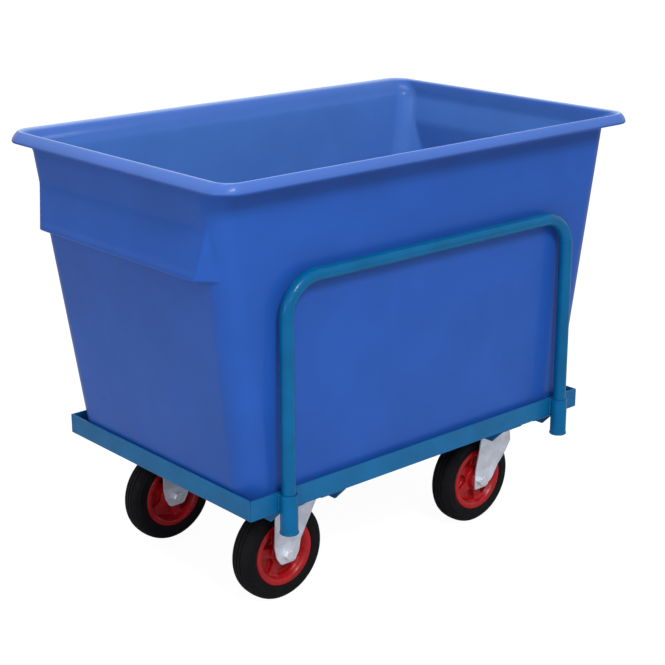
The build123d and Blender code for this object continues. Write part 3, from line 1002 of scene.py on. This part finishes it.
    # Inner wall
    ring(below_flare, -wall)
    ring(above_pull, -wall)
    for share in (*reversed(pull_shares), inner_pull_start):
        level = low + (high - low) * share
        ring(level, -wall, front=front_at(level), inset=wall)
    floor = low + wall
    for fall, back in inner_ledge_rows:
        ring(floor - fall, -wall, front=front_at(floor, back), inset=wall)
    for fall in below_inner_ledge:
        ring(floor - fall, -wall)
    inner_turn = turn - wall
    inner_base = base + wall
    for share in inner_shares:
        ring(inner_base + inner_turn + (floor - inner_base - inner_turn) * share, -wall)
    for gained, left in quarter_turn(6):
        ring(inner_base + inner_turn * left, -wall - inner_turn * gained)
    for level, inset in base_rings(sizes, inner_base, sizes.foot - wall):
        panel_ring(level, inset)

    points, faces = bridge(rings, first_cap=True, last_cap=True)
    piece = mesh_object("tub_shell", points, faces)
    lip_marks(piece, len(rings), crest_row, len(face_shares), flare_rows)
    return outward(piece)


# Tray


def angle_profile(width, height, thickness, root):
    """Angle iron section with its heel at the origin, as (inward, up) points."""
    corner = (thickness + root, thickness + root)
    inside = arc_points(corner, root, 270, 180, 6)
    return [(0, 0), (width, 0), (width, thickness)] + inside + [(thickness, height), (0, height)]


def rail_mesh(sizes, half_length, place):
    """Points and faces of one rail with mitred ends; place maps (along, in, up) to the truck."""
    profile = angle_profile(sizes.leg, sizes.leg, sizes.thickness, sizes.root)
    ends = []
    for sign in (-1, 1):
        ends.append([place(sign * (half_length - inward), inward, up) for inward, up in profile])
    return bridge(ends, first_cap=True, last_cap=True)


def rails_piece(sizes):
    """Four rails mitred into a tray, with a fine seam at each corner."""
    half_x, half_y = RAIL_HIGH[0], -RAIL_LOW[1]
    floor = RAIL_LOW[2]
    gap = 0.00025
    parts = []
    for sign in (-1, 1):
        long_side = lambda a, i, u, s=sign: (a, s * (half_y - i), floor + u)
        short_side = lambda a, i, u, s=sign: (s * (half_x - i), a, floor + u)
        parts.append(rail_mesh(sizes, half_x - gap, long_side))
        parts.append(rail_mesh(sizes, half_y - gap, short_side))
    points, faces = joined(parts)
    piece = outward(mesh_object("tray_rails", points, faces))
    return bevelled(piece, sizes.edge)


def cross_members_piece(sizes, finish):
    """Four sniped angle irons under the rails, repeated from one."""
    low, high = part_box("cross_member_fixed_outer")
    half, top = -low[1], high[2]
    profile = angle_profile(sizes.flange, sizes.depth, sizes.thickness, sizes.root)
    ends = []
    for sign in (-1, 1):
        ends.append([(-inward, sign * (half - down), -down) for inward, down in profile])
    points, faces = bridge(ends, first_cap=True, last_cap=True)
    one = bevelled(outward(mesh_object("cross_member", points, faces)), sizes.edge)
    heels, turns = [], []
    for node, turn in (
        ("cross_member_swivel_outer", 0.0),
        ("cross_member_swivel_inner", math.pi),
        ("cross_member_fixed_inner", 0.0),
        ("cross_member_fixed_outer", math.pi),
    ):
        low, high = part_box(node)
        heels.append((high[0] if turn == 0.0 else low[0], 0.0, top))
        turns.append(turn)
    piece = path_object("cross_members", [[heel] for heel in heels])
    attribute = piece.data.attributes.new("turn", "FLOAT", "POINT")
    attribute.data.foreach_set("value", turns)
    piece = repeat_tree().use(piece, Piece=one, Material=finish)
    bpy.data.objects.remove(one)
    return piece


# Push hoops and sockets


def hoop_piece(side, sizes, finish, tree):
    """Bent tube of one push hoop, with pinch marks inside its bends."""
    low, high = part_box(f"push_hoop_{side}")
    y = (low[1] + high[1]) / 2
    left, right = low[0] + sizes.tube, high[0] - sizes.tube
    bar = high[2] - sizes.tube
    run = [(left, y, low[2]), (left, y, bar), (right, y, bar), (right, y, low[2])]
    piece = path_object(f"hoop_tube_{side}", [run])
    piece = tree.use(piece, Tube_radius=sizes.tube, Bend_radius=sizes.bend, Bend_steps=48, Material=finish)
    for sign in (-1, 1):
        centre = Vector((math.copysign(right - sizes.bend, sign), y, bar - sizes.bend))
        pinch_bend(piece, sizes, centre, sign)
    return piece


def pinch_bend(piece, sizes, centre, sign):
    """Press pinch marks into the inside of a bend round a centre, near its leg."""
    past_bend = -0.006
    strongest_at, spread, wave = 12, 16, 30
    for vertex in piece.data.vertices:
        offset = vertex.co - centre
        if offset.x * sign < 0 or offset.z < past_bend:
            continue
        reach = math.hypot(offset.x, offset.z)
        inside = smooth_step((sizes.bend - reach) / sizes.tube)
        angle = math.degrees(math.atan2(max(offset.z, past_bend), abs(offset.x)))
        fade = math.exp(-(((angle - strongest_at) / spread) ** 2))
        pinch = sizes.crease * inside * fade * math.sin(math.radians(angle * wave))
        direction = Vector((offset.x, 0.0, offset.z)).normalized()
        vertex.co -= direction * pinch


def socket_profile(outer, bottom, top):
    """Section of a socket and the drained disc under it, as (radius, height)."""
    tube_wall, disc_height, disc_edge, drain = 0.003, 0.004, 0.0012, 0.004
    bore, rim, stop = outer - tube_wall, outer + disc_edge, bottom - disc_height
    seat = (bore, bottom + 0.0001)
    mouth = [
        (bore, top - 0.0006), (bore + 0.0006, top), (outer - 0.0008, top), (outer - 0.0002, top - 0.0004),
        (outer, top - 0.001),
    ]
    disc_top = [
        (outer, bottom + 0.0008), (outer + 0.0002, bottom + 0.0002), (rim - 0.0006, bottom),
        (rim, bottom - 0.0006),
    ]
    disc_foot = [(rim, stop + 0.0012), (rim - 0.0004, stop + 0.0004), (rim - 0.0012, stop)]
    drain_hole = [(drain + 0.0005, stop), (drain, stop + 0.0005), (drain, bottom)]
    return [seat] + mouth + disc_top + disc_foot + drain_hole + [seat]


def sockets_piece():
    """Four sockets: open tubes with a drained disc under each."""
    parts = []
    for node in SOCKETS:
        low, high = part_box(node)
        centre = (low + high) / 2
        profile = socket_profile((high[0] - low[0]) / 2, low[2], high[2])
        parts.append(lathe(profile, (centre[0], centre[1], 0.0), segments=56))
    points, faces = joined(parts)
    return outward(mesh_object("hoop_sockets", points, faces))


def welds_piece(sizes, finish):
    """Rippled beads down both sides of each socket where it meets the rail."""
    beside, proud, steps = 0.66, 0.75, 8
    runs = []
    face = -RAIL_LOW[1]
    bottom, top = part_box("socket_welds")[0][2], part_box("socket_welds")[1][2]
    for node in SOCKETS:
        centre = middle(node)
        outer = span(node)[0] / 2
        sign = math.copysign(1, centre[1])
        for side in (-1, 1):
            x = centre[0] + side * (outer * beside)
            y = sign * (face + sizes.weld * proud)
            runs.append([(x, y, bottom + (top - bottom) * step / steps) for step in range(steps + 1)])
    return weld_tree().use(
        path_object("socket_beads", runs),
        Bead_radius=sizes.weld,
        Ripple_pitch=sizes.ripple,
        Seed=7,
        Material=finish,
    )


# Castors


def pressing_piece(name, path, edges, thickness, edge_round):
    """Bent sheet: rows along a path in the YZ plane, each from one X to another."""
    columns = 14
    rings = []
    for y, z in path:
        first, last = edges(y, z)
        rings.append([(first + (last - first) * step / columns, y, z) for step in range(columns + 1)])
    points, faces = bridge(rings, closed=False)
    piece = mesh_object(name, points, faces)
    work = bmesh.new()
    work.from_mesh(piece.data)
    bmesh.ops.recalc_face_normals(work, faces=work.faces)
    top = max(work.faces, key=lambda face: face.calc_center_median().z)
    if top.normal.z < 0:
        bmesh.ops.reverse_faces(work, faces=work.faces)
    work.to_mesh(piece.data)
    work.free()
    solid = piece.modifiers.new("sheet", "SOLIDIFY")
    solid.thickness = thickness
    solid.offset = -1
    solid.use_even_offset = True
    piece = plain_mesh(piece)
    return bevelled(piece, edge_round, angle=50)


def sheet_path(sizes, foot, top, half_width):
    """Bent sheet's outer line from one foot over the top to the other."""
    longest_step = 4 * MM
    right = [(half_width, top), (sizes.leg, sizes.splay), (sizes.leg, foot)]
    left = [(-across, level) for across, level in reversed(right)]
    path = rounded_path(left + right, [sizes.bend] * 4, steps=8)
    dense = []
    for first, second in zip(path, path[1:]):
        steps = max(1, math.ceil((second - first).length / longest_step))
        dense.extend(first.lerp(second, step / steps) for step in range(steps))
    dense.append(path[-1])
    return dense


def foot_reach(sizes, above):
    """Half length of a leg at a height above its foot, where its rounded lower corners end."""
    down = max(0.0, sizes.foot_corner - above)
    if down == 0.0:
        return math.inf
    return sizes.foot_flat + math.sqrt(max(0.0, sizes.foot_corner**2 - down**2))


def fixed_bracket_piece(side, sizes):
    """Pressed bracket of a fixed castor."""
    centre = middle(f"fixed_bracket_{side}")
    low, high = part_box(f"fixed_bracket_{side}")
    axle = middle(f"tyre_fixed_{side}")[2]
    foot, top = low[2], high[2]
    path = sheet_path(sizes, foot, top, sizes.bracket_width)
    widths = [(foot, sizes.foot_half), (axle, sizes.bracket_axle), (top, (high[0] - low[0]) / 2)]

    def edges(_, z):
        half = min(between(widths, z), foot_reach(sizes, z - foot))
        return centre[0] - half, centre[0] + half

    piece = pressing_piece(f"fixed_pressing_{side}", path, edges, sizes.sheet, sizes.edge)
    piece.data.transform(Matrix.Translation((0, centre[1], 0)))
    return piece


def fork_piece(side, sizes):
    """Pressed fork of a swivel castor, trailing behind its king pin."""
    pin = middle(f"king_pin_{side}")
    low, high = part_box(f"swivel_fork_{side}")
    axle = middle(f"tyre_swivel_{side}")
    foot, top = low[2], high[2]
    path = sheet_path(sizes, foot, top, sizes.crown_width)
    behind = -sizes.trail - sizes.foot_half
    back = [(foot, behind), (axle[2], behind), (top, -sizes.crown_back)]
    leg_front = [(foot, 20 * MM - sizes.trail), (axle[2], 37 * MM - sizes.trail)]
    crank = [(124 * MM, 1 * MM), (140 * MM, 14 * MM), (155 * MM, 23 * MM), (180 * MM, 34.5 * MM)]
    front = leg_front + crank + [(top, sizes.crown_front)]
    flat = sizes.crown_width - sizes.crown_corner
    behind_corner, before_corner = 3 * MM, 2 * MM

    def edges(y, z):
        reach = foot_reach(sizes, z - foot)
        past = min(sizes.crown_corner, max(0.0, abs(y) - flat))
        plan = sizes.crown_front - sizes.crown_corner + math.sqrt(sizes.crown_corner**2 - past**2)
        first = max(between(back, z), -sizes.trail - reach - behind_corner)
        last = min(between(front, z), -sizes.trail + reach + before_corner, plan)
        return pin[0] + first, pin[0] + last

    piece = pressing_piece(f"fork_pressing_{side}", path, edges, sizes.sheet, sizes.edge)
    piece.data.transform(Matrix.Translation((0, pin[1], 0)))
    return piece


def hexagon_bolt(across, height, centre, direction):
    """Points and faces of a chamfered hexagon head, standing along Y or Z from a centre."""
    rings = []
    steps = 48
    chamfer_start, face_share, middle_share = 0.9, 0.9, 0.01
    sections = [(0.0, None), (height * chamfer_start, None), (height, face_share), (height, middle_share)]
    for level, round_share in sections:
        ring = []
        for step in range(steps):
            angle = FULL_TURN * step / steps
            from_flat = abs(math.degrees(angle) % 60 - 30)
            reach = across / 2 * (round_share or 1 / math.cos(math.radians(from_flat)))
            ring.append((reach * math.cos(angle), reach * math.sin(angle), level))
        rings.append(ring)
    points, faces = bridge(rings, first_cap=True, last_cap=True)
    sign = -1 if direction.startswith("-") else 1
    placed = []
    for u, v, w in points:
        offset = (u, sign * w, v) if direction.endswith("Y") else (u, v, sign * w)
        placed.append(tuple(c + d for c, d in zip(centre, offset)))
    return placed, faces


def axle_piece(castor):
    """Axle bolt with its head, nut and thread end."""
    low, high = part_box(f"axle_bolt_{castor}")
    centre = middle(f"tyre_{castor}")
    nut_low, nut_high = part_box(f"axle_nut_{castor}")
    across = min(nut_high[2] - nut_low[2], nut_high[0] - nut_low[0])
    nut_y, nut_end, end = nut_low[1], nut_high[1], high[1]
    head_y = 2 * centre[1] - nut_y
    axis = (centre[0], 0.0, centre[2])
    parts = [
        hexagon_bolt(across, head_y - low[1], (axis[0], head_y, axis[2]), "-Y"),
        hexagon_bolt(across, nut_end - nut_y, (axis[0], nut_y, axis[2]), "+Y"),
    ]
    shank, pitch, chamfer, pinhole = 0.006, 0.0010, 0.0008, 0.0001
    profile = [(pinhole, head_y), (shank, head_y), (shank, nut_end)]
    level = nut_end
    while level + pitch < end - chamfer:
        profile += [(shank - pitch / 2, level + pitch / 2), (shank, level + pitch)]
        level += pitch
    profile += [(shank - chamfer, end), (pinhole, end)]
    parts.append(lathe(profile, axis, "Y", segments=32))
    points, faces = joined(parts)
    piece = outward(mesh_object(f"axle_{castor}", points, faces, smooth=False))
    return bevelled(piece, width=0.0004, angle=40)


def washer_profile(low, high):
    """Section of a washer with its edges broken, as (radius, height)."""
    bore, outer, edge = 0.0045, 0.008, 0.0003
    rim = [(outer - edge, low), (outer, low + edge), (outer, high - edge), (outer - edge, high)]
    return [(bore, low)] + rim + [(bore, high), (bore, low)]


def stud_profile(low, high):
    """Section of a bolt's shank with its end chamfered, as (radius, height)."""
    pinhole, shank, chamfer = 0.0001, 0.004, 0.0006
    return [(pinhole, low), (shank, low), (shank, high - chamfer), (shank - chamfer, high), (pinhole, high)]


def fixings_piece(sizes, finish):
    """Sixteen castor bolts with washers and nuts, repeated from one of each."""
    low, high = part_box("castor_bolts")
    nut_low, nut_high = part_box("castor_nuts")
    washer_low, washer_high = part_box("castor_washers")
    head_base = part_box("swivel_plate_near")[1][2] - sizes.sheet
    across = 0.013
    origin = (0, 0, 0)
    parts = [
        hexagon_bolt(across, head_base - low[2], (0, 0, head_base), "-Z"),
        hexagon_bolt(across, nut_high[2] - nut_low[2], (0, 0, nut_low[2]), "+Z"),
        lathe(washer_profile(washer_low[2], washer_high[2]), origin, segments=24),
        lathe(stud_profile(head_base, high[2]), origin, segments=20),
    ]
    points, faces = joined(parts)
    one = outward(mesh_object("castor_fixing", points, faces, smooth=False))
    one = bevelled(one, width=0.0003, segments=1, angle=40)
    castor = middle("swivel_plate_near")
    piece = bolt_grid_tree().use(
        path_object("castor_fixings", [[origin]]),
        Fastener=one,
        Castor_spacing_X=2 * abs(castor[0]),
        Castor_spacing_Y=2 * abs(castor[1]),
        Hole_spacing_X=sizes.hole_x,
        Hole_spacing_Y=sizes.hole_y,
        Material=finish,
    )
    bpy.data.objects.remove(one)
    return piece


# Wheels


def turned_map(piece, centre):
    """UV map of turn round the axle and distance along the section, for turned lines."""
    units_per_metre = 10
    layer = piece.data.uv_layers.new(name="turned")
    for loop in piece.data.loops:
        offset = piece.data.vertices[loop.vertex_index].co - centre
        reach = math.hypot(offset.x, offset.z)
        turn = math.atan2(offset.z, offset.x) / FULL_TURN
        layer.data[loop.index].uv = (turn, (reach + abs(offset.y)) * units_per_metre)
    return piece


def tyre_piece(castor, sizes):
    """Solid tyre with grooved tread, stepped shoulders and a ring on its side wall."""
    centre = middle(f"tyre_{castor}")
    top, half = sizes.radius, sizes.tyre_width / 2
    rim = sizes.rim
    # Each pair is a radius in metres and half a width in millimetres
    bead = [
        (rim, 18), (rim + 0.0004, 22.2), (rim + 0.0012, 23.2), (rim + 0.0028, 24.1), (rim + 0.0045, 24.3),
        (rim + 0.0060, 24.9),
    ]
    side_groove = [(0.0790, 25.0), (0.0800, 24.6), (0.0808, 24.6), (0.0818, 25.0), (0.0850, 25.0)]
    shoulder = [
        (0.0868, 24.8), (0.0880, 24.3), (0.0890, 23.6), (0.0898, 22.9), (0.0904, 22.3), (0.0912, 22.1),
        (0.0930, 21.0), (0.0945, 19.8), (0.0957, 18.5), (0.0966, 17.2), (0.0971, 16.3), (0.0977, 15.9),
        (0.0981, 15.0), (0.0985, 13.8), (0.0989, 12.4), (0.0992, 11.0),
    ]
    outer_groove = [
        (0.0989, 10.6), (0.0974, 10.3), (0.0972, 10.0), (0.0972, 8.3), (0.0974, 8.0), (0.0992, 7.7)
    ]
    tread = [(0.0996, 7.3), (0.0999, 4.5), (0.1000, 2.0)]
    middle_groove = [(0.0997, 1.6), (0.0979, 1.3), (0.0976, 1.0), (0.0976, 0.0)]
    half_line = bead + side_groove + shoulder + outer_groove + tread + middle_groove
    near = [(radius, -width * MM) for radius, width in half_line]
    profile = near + [(radius, -width) for radius, width in reversed(near[:-1])]
    profile = [(min(radius, top), max(-half, min(half, width))) for radius, width in profile]
    profile.append(profile[0])
    points, faces = lathe(profile, centre, "Y", segments=144)
    piece = outward(mesh_object(f"tyre_moulding_{castor}", points, faces))
    return turned_map(piece, centre)


def hub_depth(radius, turn, sizes):
    """Height of the red centre's face above its middle plane."""
    # Each pair is a radius and a height in millimetres
    boss = [(12.5, 29.4), (13.2, 30.0), (20.5, 30.0), (21.5, 29.6), (22.0, 28.6)]
    web = [
        (23.2, 17.4), (24.2, 16.0), (26.5, 15.3), (46.5, 13.7), (49.0, 13.9), (51.0, 15.0), (53.5, 18.8)
    ]
    rim = [
        (56.0, 22.5), (57.2, 23.8), (58.5, 24.3), (60.0, 24.5), (65.5, 24.5), (66.8, 24.1), (67.6, 23.1),
        (68.0, 21.5),
    ]
    face = between(boss + web + rim, radius / MM)
    pocket_start, pocket_end, pocket_floor = 0.0258, 0.0504, 4.5
    rounding, draft, overlap = 0.002, 0.0016, 0.0002
    sector = FULL_TURN / sizes.arms
    away = abs((turn + sector / 2) % sector - sector / 2)
    side = radius * math.sin(away) - sizes.arm_width / 2
    inside = soft_min(side, radius - pocket_start, rounding)
    inside = soft_min(inside, pocket_end - radius, rounding)
    sunk = smooth_step((inside + overlap) / draft)
    return (face * (1 - sunk) + pocket_floor * sunk) * MM


def arm_turns(radius, sizes):
    """Turns round one sector at a radius, gathered where the arm's sides are."""
    steps = 14
    pocket_radius, edge_offset, band = 0.0262, 0.0008, 0.0014
    steepest, widest = 0.9, 0.8
    band_start, band_end = 0.34, 0.62
    sector = FULL_TURN / sizes.arms
    reach = max(radius, pocket_radius)
    edge = math.asin(min(steepest, (sizes.arm_width / 2 + edge_offset) / reach))
    edge = min(edge, sector / 2 * widest)
    half_band = band / reach
    sides = [(band_start, edge - half_band), (band_end, edge + half_band)]
    stops = [(0.0, 0.0)] + sides + [(1.0, sector / 2)]
    turns = []
    for step in range(2 * steps):
        local = between(stops, min(step, 2 * steps - step) / steps)
        turns.append(local if step <= steps else sector - local)
    return turns


def hub_piece(castor, sizes, spin):
    """Moulded centre with arms and pockets on both faces."""
    centre = middle(f"wheel_hub_{castor}")
    boss = [12.5, 13.2, 16.5, 20.5, 21.5, 22.2, 23.2, 24.0]
    web = [25.2, 26.0, 26.8, 27.6, 28.6, 30.5, 34.0, 38.0, 42.0, 45.5, 47.6, 48.8, 49.6, 50.4, 51.2, 52.2]
    rim = [53.5, 55.5, 57.5, 59.2, 60.5, 62.0, 64.0, 65.5, 66.8, 67.6, 68.0]
    radii = [millimetres * MM for millimetres in boss + web + rim]
    sector = FULL_TURN / sizes.arms
    rings = []
    for face, order in ((-1, radii), (1, reversed(radii))):
        for radius in order:
            ring = []
            for arm in range(sizes.arms):
                for offset in arm_turns(radius, sizes):
                    turn = arm * sector + offset
                    u, v = radius * math.cos(turn + spin), radius * math.sin(turn + spin)
                    depth = face * hub_depth(radius, turn, sizes)
                    ring.append((centre[0] + u, centre[1] + depth, centre[2] + v))
            rings.append(ring)
    rings.append(rings[0])
    points, faces = bridge(rings)
    return outward(mesh_object(f"hub_moulding_{castor}", points, faces))


# Stage


def floor_finish(colour):
    """Pale floor that looks white to the camera but keeps the shadow."""
    finish = Finish("studio_floor")
    finish.set(Base_Color=opaque(colour), Roughness=0.9, Specular_IOR_Level=0.1)
    glow_share, glow_strength = 0.80, 1.19
    glow = finish.node("ShaderNodeEmission", Strength=glow_strength).outputs[0]
    seen = finish.node("ShaderNodeLightPath").outputs["Is Camera Ray"]
    share = finish.math("MULTIPLY", seen, glow_share)
    surface = finish.blend(share, finish.shader.outputs[0], glow)
    finish.join(surface, finish.tree.nodes["Material Output"].inputs[0])
    return finish.material


def studio_world(ambient):
    """Plain light all round, with a white background for the camera and reflections."""
    world = bpy.data.worlds.new("studio")
    bpy.context.scene.world = world
    world.use_nodes = True
    nodes = Nodes(world.node_tree)
    white = (1.0, 1.0, 1.0, 1.0)
    light = world.node_tree.nodes["Background"]
    nodes.join(white, light.inputs["Color"])
    nodes.join(ambient, light.inputs["Strength"])
    background = nodes.node("ShaderNodeBackground", Color=white, Strength=1.0)
    path = nodes.node("ShaderNodeLightPath").outputs
    seen = nodes.math("MAXIMUM", path["Is Camera Ray"], path["Is Glossy Ray"])
    seen = nodes.math("MAXIMUM", seen, path["Is Transmission Ray"])
    surface = nodes.blend(seen, light.outputs[0], background.outputs[0])
    nodes.join(surface, world.node_tree.nodes["World Output"].inputs[0])


def soft_lamp(name, place, aim, width, height, power):
    """Rectangular studio lamp that points at a place."""
    lamp = bpy.data.lights.new(name, "AREA")
    lamp.shape = "RECTANGLE"
    lamp.size, lamp.size_y = width, height
    lamp.energy = power
    holder = bpy.data.objects.new(name, lamp)
    bpy.context.scene.collection.objects.link(holder)
    holder.location = place
    direction = Vector(aim) - Vector(place)
    holder.rotation_euler = direction.to_track_quat("-Z", "Y").to_euler()


def photo_camera(settings):
    """Camera at the photograph's angle."""
    data = bpy.data.cameras.new("photo_camera")
    camera = bpy.data.objects.new("photo_camera", data)
    bpy.context.scene.collection.objects.link(camera)
    azimuth, elevation = settings.azimuth, settings.elevation
    level = math.cos(elevation)
    back = Vector((math.sin(azimuth) * level, -math.cos(azimuth) * level, math.sin(elevation)))
    right = Vector((math.cos(azimuth), math.sin(azimuth), 0.0))
    up = back.cross(right)
    turn = Matrix.Rotation(settings.roll, 3, back)
    right, up = turn @ right, turn @ up
    place = Vector(settings.target) + back * settings.distance
    rows = Matrix((right, up, back)).transposed()
    camera.matrix_world = Matrix.Translation(place) @ rows.to_4x4()
    data.sensor_width = settings.sensor
    data.lens = settings.lens
    data.shift_x = settings.shift_x
    data.shift_y = settings.shift_y
    bpy.context.scene.camera = camera


# Operators


class TRUCK_OT_tub(bpy.types.Operator):
    """Make the moulded tub"""

    bl_idname = "truck.tub"
    bl_label = "Tub"

    def execute(self, context):
        paint = finishes()
        piece = tub_piece(context.scene.truck_tub)
        finish_piece(piece, "chassis", "tub_plastic", paint["tub_plastic"], "tub")
        return {"FINISHED"}


class TRUCK_OT_tray(bpy.types.Operator):
    """Make the angle iron tray and its cross members"""

    bl_idname = "truck.tray"
    bl_label = "Tray"

    def execute(self, context):
        paint = finishes()["frame_paint"]
        sizes = context.scene.truck_tray
        rails = ["rail_near", "rail_far", "rail_fixed_end", "rail_swivel_end"]
        finish_piece(rails_piece(sizes), "chassis", "frame_paint", paint, *rails)
        members = [name for name in frame["nodes"] if name.startswith("cross_member_")]
        finish_piece(cross_members_piece(sizes, paint), "chassis", "frame_paint", paint, *members)
        return {"FINISHED"}


class TRUCK_OT_hoops(bpy.types.Operator):
    """Make the push hoops, their sockets and weld beads"""

    bl_idname = "truck.hoops"
    bl_label = "Push hoops"

    def execute(self, context):
        paint = finishes()
        sizes = context.scene.truck_hoops
        tree = tube_tree()
        for side in SIDES:
            piece = hoop_piece(side, sizes, paint["hoop_paint"], tree)
            finish_piece(piece, f"hoop_{side}", "hoop_paint", paint["hoop_paint"], f"push_hoop_{side}")
        sockets = sockets_piece()
        finish_piece(sockets, "chassis", "frame_paint", paint["hoop_paint"], "socket_stops", *SOCKETS)
        beads = welds_piece(sizes, paint["frame_paint"])
        finish_piece(beads, "chassis", "frame_paint", paint["frame_paint"], "socket_welds")
        return {"FINISHED"}


class TRUCK_OT_castors(bpy.types.Operator):
    """Make the castor pressings, axles and fixings"""

    bl_idname = "truck.castors"
    bl_label = "Castors"

    def execute(self, context):
        paint = finishes()
        pressing = paint["zinc_pressing"]
        sizes = context.scene.truck_castors
        for side in SIDES:
            bracket = fixed_bracket_piece(side, sizes)
            finish_piece(bracket, "chassis", "zinc_pressing", pressing, f"fixed_bracket_{side}")
            fork = fork_piece(side, sizes)
            finish_piece(fork, f"fork_{side}", "zinc_pressing", pressing, f"swivel_fork_{side}")
        for castor in CASTORS:
            axle = axle_piece(castor)
            nodes = (f"axle_bolt_{castor}", f"axle_nut_{castor}")
            finish_piece(axle, frame_body(castor), "bright_zinc", paint["bright_zinc"], *nodes)
        fixings = fixings_piece(sizes, paint["bright_zinc"])
        nodes = ("castor_bolts", "castor_washers", "castor_nuts")
        finish_piece(fixings, "chassis", "bright_zinc", paint["bright_zinc"], *nodes)
        return {"FINISHED"}


class TRUCK_OT_wheels(bpy.types.Operator):
    """Make the tyres and the red wheel centres"""

    bl_idname = "truck.wheels"
    bl_label = "Wheels"

    def execute(self, context):
        paint = finishes()
        sizes = context.scene.truck_wheels
        # Turn of each wheel at rest, in degrees
        spins = {"fixed_near": 100, "fixed_far": 71, "swivel_near": 70, "swivel_far": 88}
        for castor in CASTORS:
            body = wheel_body(castor)
            tyre = tyre_piece(castor, sizes)
            finish_piece(tyre, body, "black_rubber", paint["black_rubber"], f"tyre_{castor}")
            hub = hub_piece(castor, sizes, math.radians(spins[castor]))
            finish_piece(hub, body, "red_plastic", paint["red_plastic"], f"wheel_hub_{castor}")
        return {"FINISHED"}


class TRUCK_OT_plain_parts(bpy.types.Operator):
    """Give the parts that keep their CAD shape their finishes"""

    bl_idname = "truck.plain_parts"
    bl_label = "Bearings, plates and pins"

    def execute(self, context):
        paint = finishes()
        slots = {row["node"]: row["material_slot"] for row in frame["record"]["subparts"]}
        for node in frame["nodes"]:
            if not frame["nodes"][node].hide_render:
                repaint(node, paint[slots[node]])
        return {"FINISHED"}


class TRUCK_OT_stage(bpy.types.Operator):
    """Set up the floor, lamps, background and camera"""

    bl_idname = "truck.stage"
    bl_label = "Studio"

    def execute(self, context):
        scene = context.scene
        settings = scene.truck_stage
        scene.view_settings.view_transform = "Standard"
        half = settings.floor / 2
        points = [(-half, -half, 0), (half, -half, 0), (half, half, 0), (-half, half, 0)]
        floor = mesh_object("studio_floor", points, [(0, 1, 2, 3)], smooth=False)
        floor.data.materials.append(floor_finish(scene.truck_finishes.floor))
        studio_world(settings.ambient)
        tub = Vector((0.0, 0.0, 0.5))
        soft_lamp("key", place=(-1.5, -3.9, 4.0), aim=tub, width=1.3, height=1.3, power=158)
        soft_lamp("fill", place=(-4.0, -0.8, 1.5), aim=tub, width=1.6, height=1.6, power=20)
        soft_lamp("flash", place=(-2.2, -2.6, 1.9), aim=(0, 0, 0.6), width=0.14, height=0.14, power=7)
        soft_lamp("top", place=(0.0, 0.0, 3.6), aim=(0, 0, 0.4), width=2.6, height=0.8, power=48)
        photo_camera(settings)
        return {"FINISHED"}


class TRUCK_PT_panel(bpy.types.Panel):
    """Buttons and settings of the truck"""

    bl_idname = "TRUCK_PT_panel"
    bl_label = "Wheeled container truck"
    bl_space_type = "VIEW_3D"
    bl_region_type = "UI"
    bl_category = "Truck"

    def draw(self, context):
        scene = context.scene
        for operator in STEPS:
            self.layout.operator(operator.bl_idname)
        for name, group in SETTINGS.items():
            box = self.layout.box()
            box.label(text=group.__doc__)
            for prop in group.__annotations__:
                box.prop(getattr(scene, name), prop)


STEPS = (
    TRUCK_OT_tub,
    TRUCK_OT_tray,
    TRUCK_OT_hoops,
    TRUCK_OT_castors,
    TRUCK_OT_wheels,
    TRUCK_OT_plain_parts,
    TRUCK_OT_stage,
)
SETTINGS = {
    "truck_tub": TubSizes,
    "truck_tray": TraySizes,
    "truck_hoops": HoopSizes,
    "truck_castors": CastorSizes,
    "truck_wheels": WheelSizes,
    "truck_finishes": FinishColours,
    "truck_stage": StageSettings,
}


def register():
    for name, group in SETTINGS.items():
        bpy.utils.register_class(group)
        setattr(bpy.types.Scene, name, bpy.props.PointerProperty(type=group))
    for operator in STEPS:
        bpy.utils.register_class(operator)
    bpy.utils.register_class(TRUCK_PT_panel)


def unregister():
    bpy.utils.unregister_class(TRUCK_PT_panel)
    for operator in reversed(STEPS):
        bpy.utils.unregister_class(operator)
    for name, group in reversed(list(SETTINGS.items())):
        delattr(bpy.types.Scene, name)
        bpy.utils.unregister_class(group)


def main():
    register()
    bpy.ops.truck.tub()
    bpy.ops.truck.tray()
    bpy.ops.truck.hoops()
    bpy.ops.truck.castors()
    bpy.ops.truck.wheels()
    bpy.ops.truck.plain_parts()
    bpy.ops.truck.stage()


if __name__ == "__main__":
    main()
